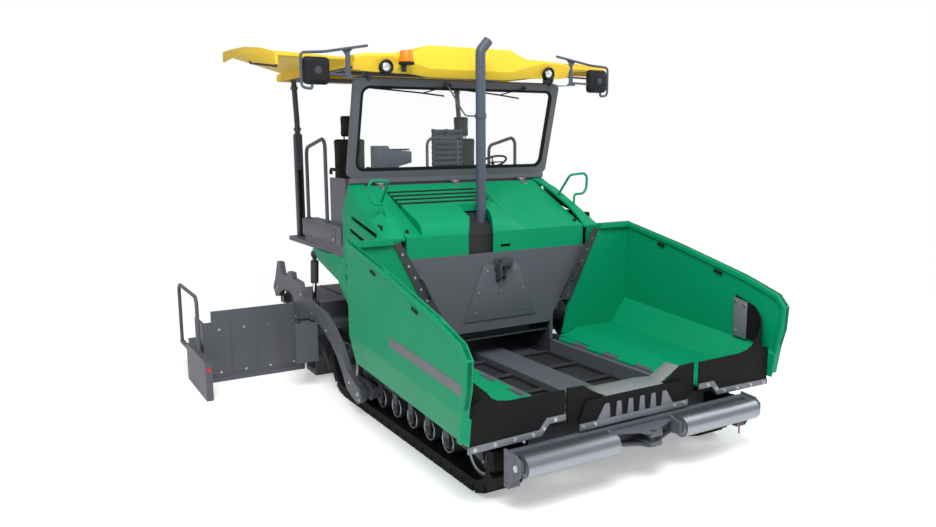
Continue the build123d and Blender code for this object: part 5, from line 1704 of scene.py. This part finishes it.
@dataclass
class Posts:
    """Rear roof posts: square below, round and leaning above."""

    x: float = -1985.0
    y: float = 1115.0
    foot_z: float = 1540.0
    foot_half: float = 45.0
    knee_z: float = 2755.0
    top: Pair = (-2060.0, 3425.0)
    tube_radius: float = 32.0
    collar: tuple = ((33, -20), (44, -16), (44, 16), (33, 20), (33, -20))
    high_collar_z: float = 3300.0
    rail_front_x: float = 60.0
    cross_beams: tuple = (((-2090, -2030), (3380, 3425)), ((-1000, -950), (3385, 3425)))
    beam_half: float = 1140.0
    sleeve_z: float = 1560.0
    sleeve_folds: int = 26
    sleeve_pitch: float = 30.0

    def build(self) -> None:
        """Make both posts with their collars, rails, cross beams and cable sleeves."""
        feet, upper, rails = Shape(), Shape(), Shape()
        half, top_x = self.foot_half, self.top[0]
        for way in (-1, 1):
            y = way * self.y
            feet.box((self.x - half, self.x + half), (y - half, y + half), (self.foot_z, self.knee_z))
            line = [(self.x, y, self.knee_z - 60), (self.x, y, self.knee_z + 120), (top_x, y, self.top[1])]
            upper.tube(line, self.tube_radius, 100, 20)
            collars = [(self.x, self.knee_z + rise) for rise in (-10, 60)]
            for x, z in (*collars, (top_x + 14, self.high_collar_z)):
                upper.turned(self.collar, (x, y, z), UPWARDS, 24)
            rails.box((top_x - 60, self.rail_front_x), (y - 25, y + 25), (3385, 3429))
        for x_range, z_range in self.cross_beams:
            rails.box(x_range, (-self.beam_half, self.beam_half), z_range)
        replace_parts(feet.bevel(10, 2).piece("post_feet", BLUE_GREY), "roof_posts")
        upper.piece("post_tubes", BLUE_GREY)
        rails.bevel(5).piece("roof_rails", BLUE_GREY)
        self.sleeves()

    def sleeves(self) -> None:
        """Make the folded rubber sleeves round the posts' cables."""
        profile = [(16, 0)]
        for step in range(self.sleeve_folds):
            height = step * self.sleeve_pitch
            profile += [(21, height + 8), (26, height + 14), (21, height + 20), (16, height + 28)]
        profile += [(0, self.sleeve_folds * self.sleeve_pitch), (0, 0), (16, 0)]
        sleeves = Shape()
        for way in (-1, 1):
            sleeves.turned(profile, (self.x + 85, way * (self.y + 20), self.sleeve_z), UPWARDS, 16)
        sleeves.piece("cable_sleeves", RUBBER)


# ---------------------------------------------------------------- undercarriage and screed
@dataclass
class Undercarriage:
    """Wheel faces, the push rollers' ends and the push bar's plates."""

    face_y: float = 1203.0
    # x, z, size against a track roller
    big_wheels: tuple = ((2355.0, 308.0, 1.9), (-317.0, 368.0, 2.3))
    # radius on a track roller, distance out
    hub_cap: tuple = ((0, 12), (18, 12), (26, 8), (31, 0), (31, -14), (0, -14))
    wheel_ring: tuple = ((84, 1), (93, 5), (100, 1), (100, -5), (84, -5), (84, 1))
    roller_z: float = 212.3
    roller_front_x: float = 1829.0
    roller_pitch: float = 330.0
    roller_count: int = 6
    push_axis: Pair = (2905.0, 382.0)
    push_end: tuple = ((26, 1.5), (60, 1.5), (66, -2), (82, -3), (84, -8), (26, -8), (26, 1.5))
    push_end_y: tuple = ((345, -1), (1194, 1))
    bar_x: Pair = (2745.0, 2802.0)
    bar_bolts: tuple = (-900, -600, 600, 900)
    cheek_y: tuple = (1140.0, 1231.0, 1246.0)
    tow_plate: tuple = (
        (2802, 0), (2802, 300), (2850, 296), (2890, 200), (2930, 110), (2985, 74), (3000, 40), (3000, 0),
    )
    tow_skins: tuple = ((426, 434), (322, 329))
    tow_eye: tuple = ((2955, 0, 300), (2955, 0, 460))
    cheek: tuple = (
        (2745, 190), (2800, 190), (2832, 250), (2950, 330), (2950, 430), (2900, 472), (2745, 482),
    )
    cheek_bolts: tuple = ((2775, 225), (2775, 300), (2775, 420), (2880, 300), (2930, 360), (2880, 440))
    marker: Point = (2790.0, 1180.0, 120.0)
    marker_step: float = 36.0

    def build(self) -> None:
        """Make every piece near the ground."""
        self.wheels()
        self.push_rollers()
        self.tow_plates()
        self.cheeks()
        x, y, z = self.marker
        rod = Shape()
        for place in range(5):
            foot = z + place * self.marker_step
            rod.bar((x, y, foot), (x, y, foot + self.marker_step), 7, sides=12)
        rod.piece("marker_rod", RED, "push_bar", slot="steel")

    def wheels(self) -> None:
        """Make the hub caps, bright rings and bolts of the track's wheels."""
        caps, rings, bolts = Shape(), Shape(), Shape()
        fronts = [self.roller_front_x - self.roller_pitch * place for place in range(self.roller_count)]
        for x, z, size in (*((x, self.roller_z, 1.0) for x in fronts), *self.big_wheels):
            cap = [(radius * size, out) for radius, out in self.hub_cap]
            caps.turned(cap, (x, self.face_y + 18, z), OUTWARDS, 28)
            ring = [(radius * size, out) for radius, out in self.wheel_ring]
            rings.turned(ring, (x, self.face_y - 0.5, z), OUTWARDS, 40)
            sunk = 24 * (1 if size == 1 else 1.85)
            for place in range(6):
                turn = math.radians(60 * place + 15)
                run, rise = math.cos(turn) * 56 * size, math.sin(turn) * 56 * size
                bolts.bolt((x + run, self.face_y - sunk, z + rise), OUTWARDS, 8 * min(size, 1.6))
        caps.both_sides().piece("hub_caps", DARK)
        rings.both_sides().piece("wheel_rings", STEEL)
        bolts.both_sides().piece("wheel_bolts", ZINC)

    def push_rollers(self) -> None:
        """Make the push rollers' end rings and the bar's bolts."""
        x, z = self.push_axis
        for side, way in SIDES:
            ends = Shape()
            for y, out in self.push_end_y:
                ends.turned(self.push_end, (x, way * (y - out), z), (0, way * out, 0), 40)
            ends.piece(f"roller_ends_{side}", STEEL, f"push_roller_{side}")
        nuts = Shape()
        for way in (-1, 1):
            nuts.bolt((x, way * 1232, z), (0, way, 0), 30)
        for y in self.bar_bolts:
            nuts.bolt((self.bar_x[1], y, z), FORWARDS, 14)
        nuts.piece("push_bar_bolts", ZINC, "push_bar")

    def tow_plates(self) -> None:
        """Make the rounded skins over and under the tow eye."""
        line = [*self.tow_plate, *[(x, -y) for x, y in reversed(self.tow_plate[1:-1])]]
        skins = Shape()
        for low, high in self.tow_skins:
            skins.prism(line, "Z", low, high)
        skins.combine(Shape().bar(*self.tow_eye, 24), "DIFFERENCE").bevel(2)
        skins.piece("tow_plate_skins", GREY, "push_bar")

    def cheeks(self) -> None:
        """Make the push bar's end cheeks with their bolts."""
        near, face, far = self.cheek_y
        cheeks = Shape()
        for way in (-1, 1):
            cheeks.prism(self.cheek, "Y", *side_range(way, face, far))
            cheeks.box((self.bar_x[0], 2800), side_range(way, near, face), (190, 250))
            for x, z in self.cheek_bolts:
                cheeks.bolt((x, way * far, z), (0, way, 0), 10)
        cheeks.bevel(1.2).piece("push_bar_cheeks", GREY, "push_bar")


@dataclass
class ScreedTrim:
    """Tow balls, arm bolts, extension ribs, cover ribs and reflectors."""

    ball: Point = (391.0, 1401.0, 253.0)
    ball_profile: tuple = ((0, 30), (16, 26), (27, 16), (32, 0), (32, -20), (0, -20))
    arm_y: float = 1395.0
    arm_bolts: tuple = (
        (-1475, 460), (-1475, 560), (-1475, 660), (-2170, 860), (-2110, 900), (-1250, 960), (400, 190),
        (150, 300), (-480, 700), (-900, 800),
    )
    front_x: float = -1530.0
    end_y: float = 2557.0
    face_bolts_y: tuple = (1420, 1700, 1980, 2260)
    rib_y: tuple = (1560, 1840, 2120)
    reflector: Point = (-899.5, 2525.0, 330.0)
    reflector_profile: tuple = ((0, 6), (22, 5), (26, 0), (0, 0))
    cover_rib_y: tuple = (-820, -280, 260, 800)

    def build(self) -> None:
        """Make the screed's trim."""
        x, y, z = self.ball
        balls, bolts, cover = Shape(), Shape(), Shape()
        for way in (-1, 1):
            balls.turned(self.ball_profile, (x, way * y, z), (0, way, 0), 28)
            for bolt_x, bolt_z in self.arm_bolts:
                bolts.bolt((bolt_x, way * self.arm_y, bolt_z), (0, way, 0), 13)
        balls.piece("tow_balls", STEEL)
        bolts.piece("arm_bolts", ZINC, "screed")
        for side, way in SIDES:
            self.extension(side, way)
        for y in self.cover_rib_y:
            cover.box((-2220, self.front_x), (y, y + 20), (850.5, 858))
        cover.bevel(2).piece("screed_cover_ribs", DARK, "screed")

    def extension(self, side: str, way: int) -> None:
        """Make one extension's bolts, ribs and end reflector.

        Args:
            side: The side's name.
            way: 1 on the left and -1 on the right.
        """
        body, front = f"extension_{side}", self.front_x
        bolts, ribs = Shape(), Shape()
        for y in self.face_bolts_y:
            for z in (110, 600):
                bolts.bolt((front, way * y, z), FORWARDS, 12)
        for x in (-1780, -1400, -1020):
            for z in (90, 340):
                bolts.bolt((x, way * self.end_y, z), (0, way, 0), 1.4)
        bolts.piece(f"extension_bolts_{side}", ZINC, body)
        for y in self.rib_y:
            ribs.box((front, front + 7), side_range(way, y, y + 16), (70, 680))
        ribs.box((front, front + 9), side_range(way, 1300, 2436), (62, 84))
        ribs.bevel(2).piece(f"extension_ribs_{side}", GREY, body)
        x, y, z = self.reflector
        lamp = Shape().turned(self.reflector_profile, (x, way * y, z), FORWARDS, 24)
        lamp.piece(f"end_reflector_{side}", RED if way < 0 else AMBER, body)


ASSEMBLIES = (
    Roof,
    Hood,
    Cowls,
    HopperFront,
    WingTrim,
    Windscreen,
    Stack,
    Cab,
    Posts,
    Mirrors,
    Undercarriage,
    ScreedTrim,
)


def main() -> None:
    """Build the studio and every piece of the machine."""
    logging.basicConfig(level=logging.INFO, format="%(name)s: %(message)s")
    bpy.context.scene.view_settings.view_transform = "Standard"
    Studio().build()
    dress_frame()
    for assembly in ASSEMBLIES:
        assembly().build()


if __name__ == "__main__":
    main()
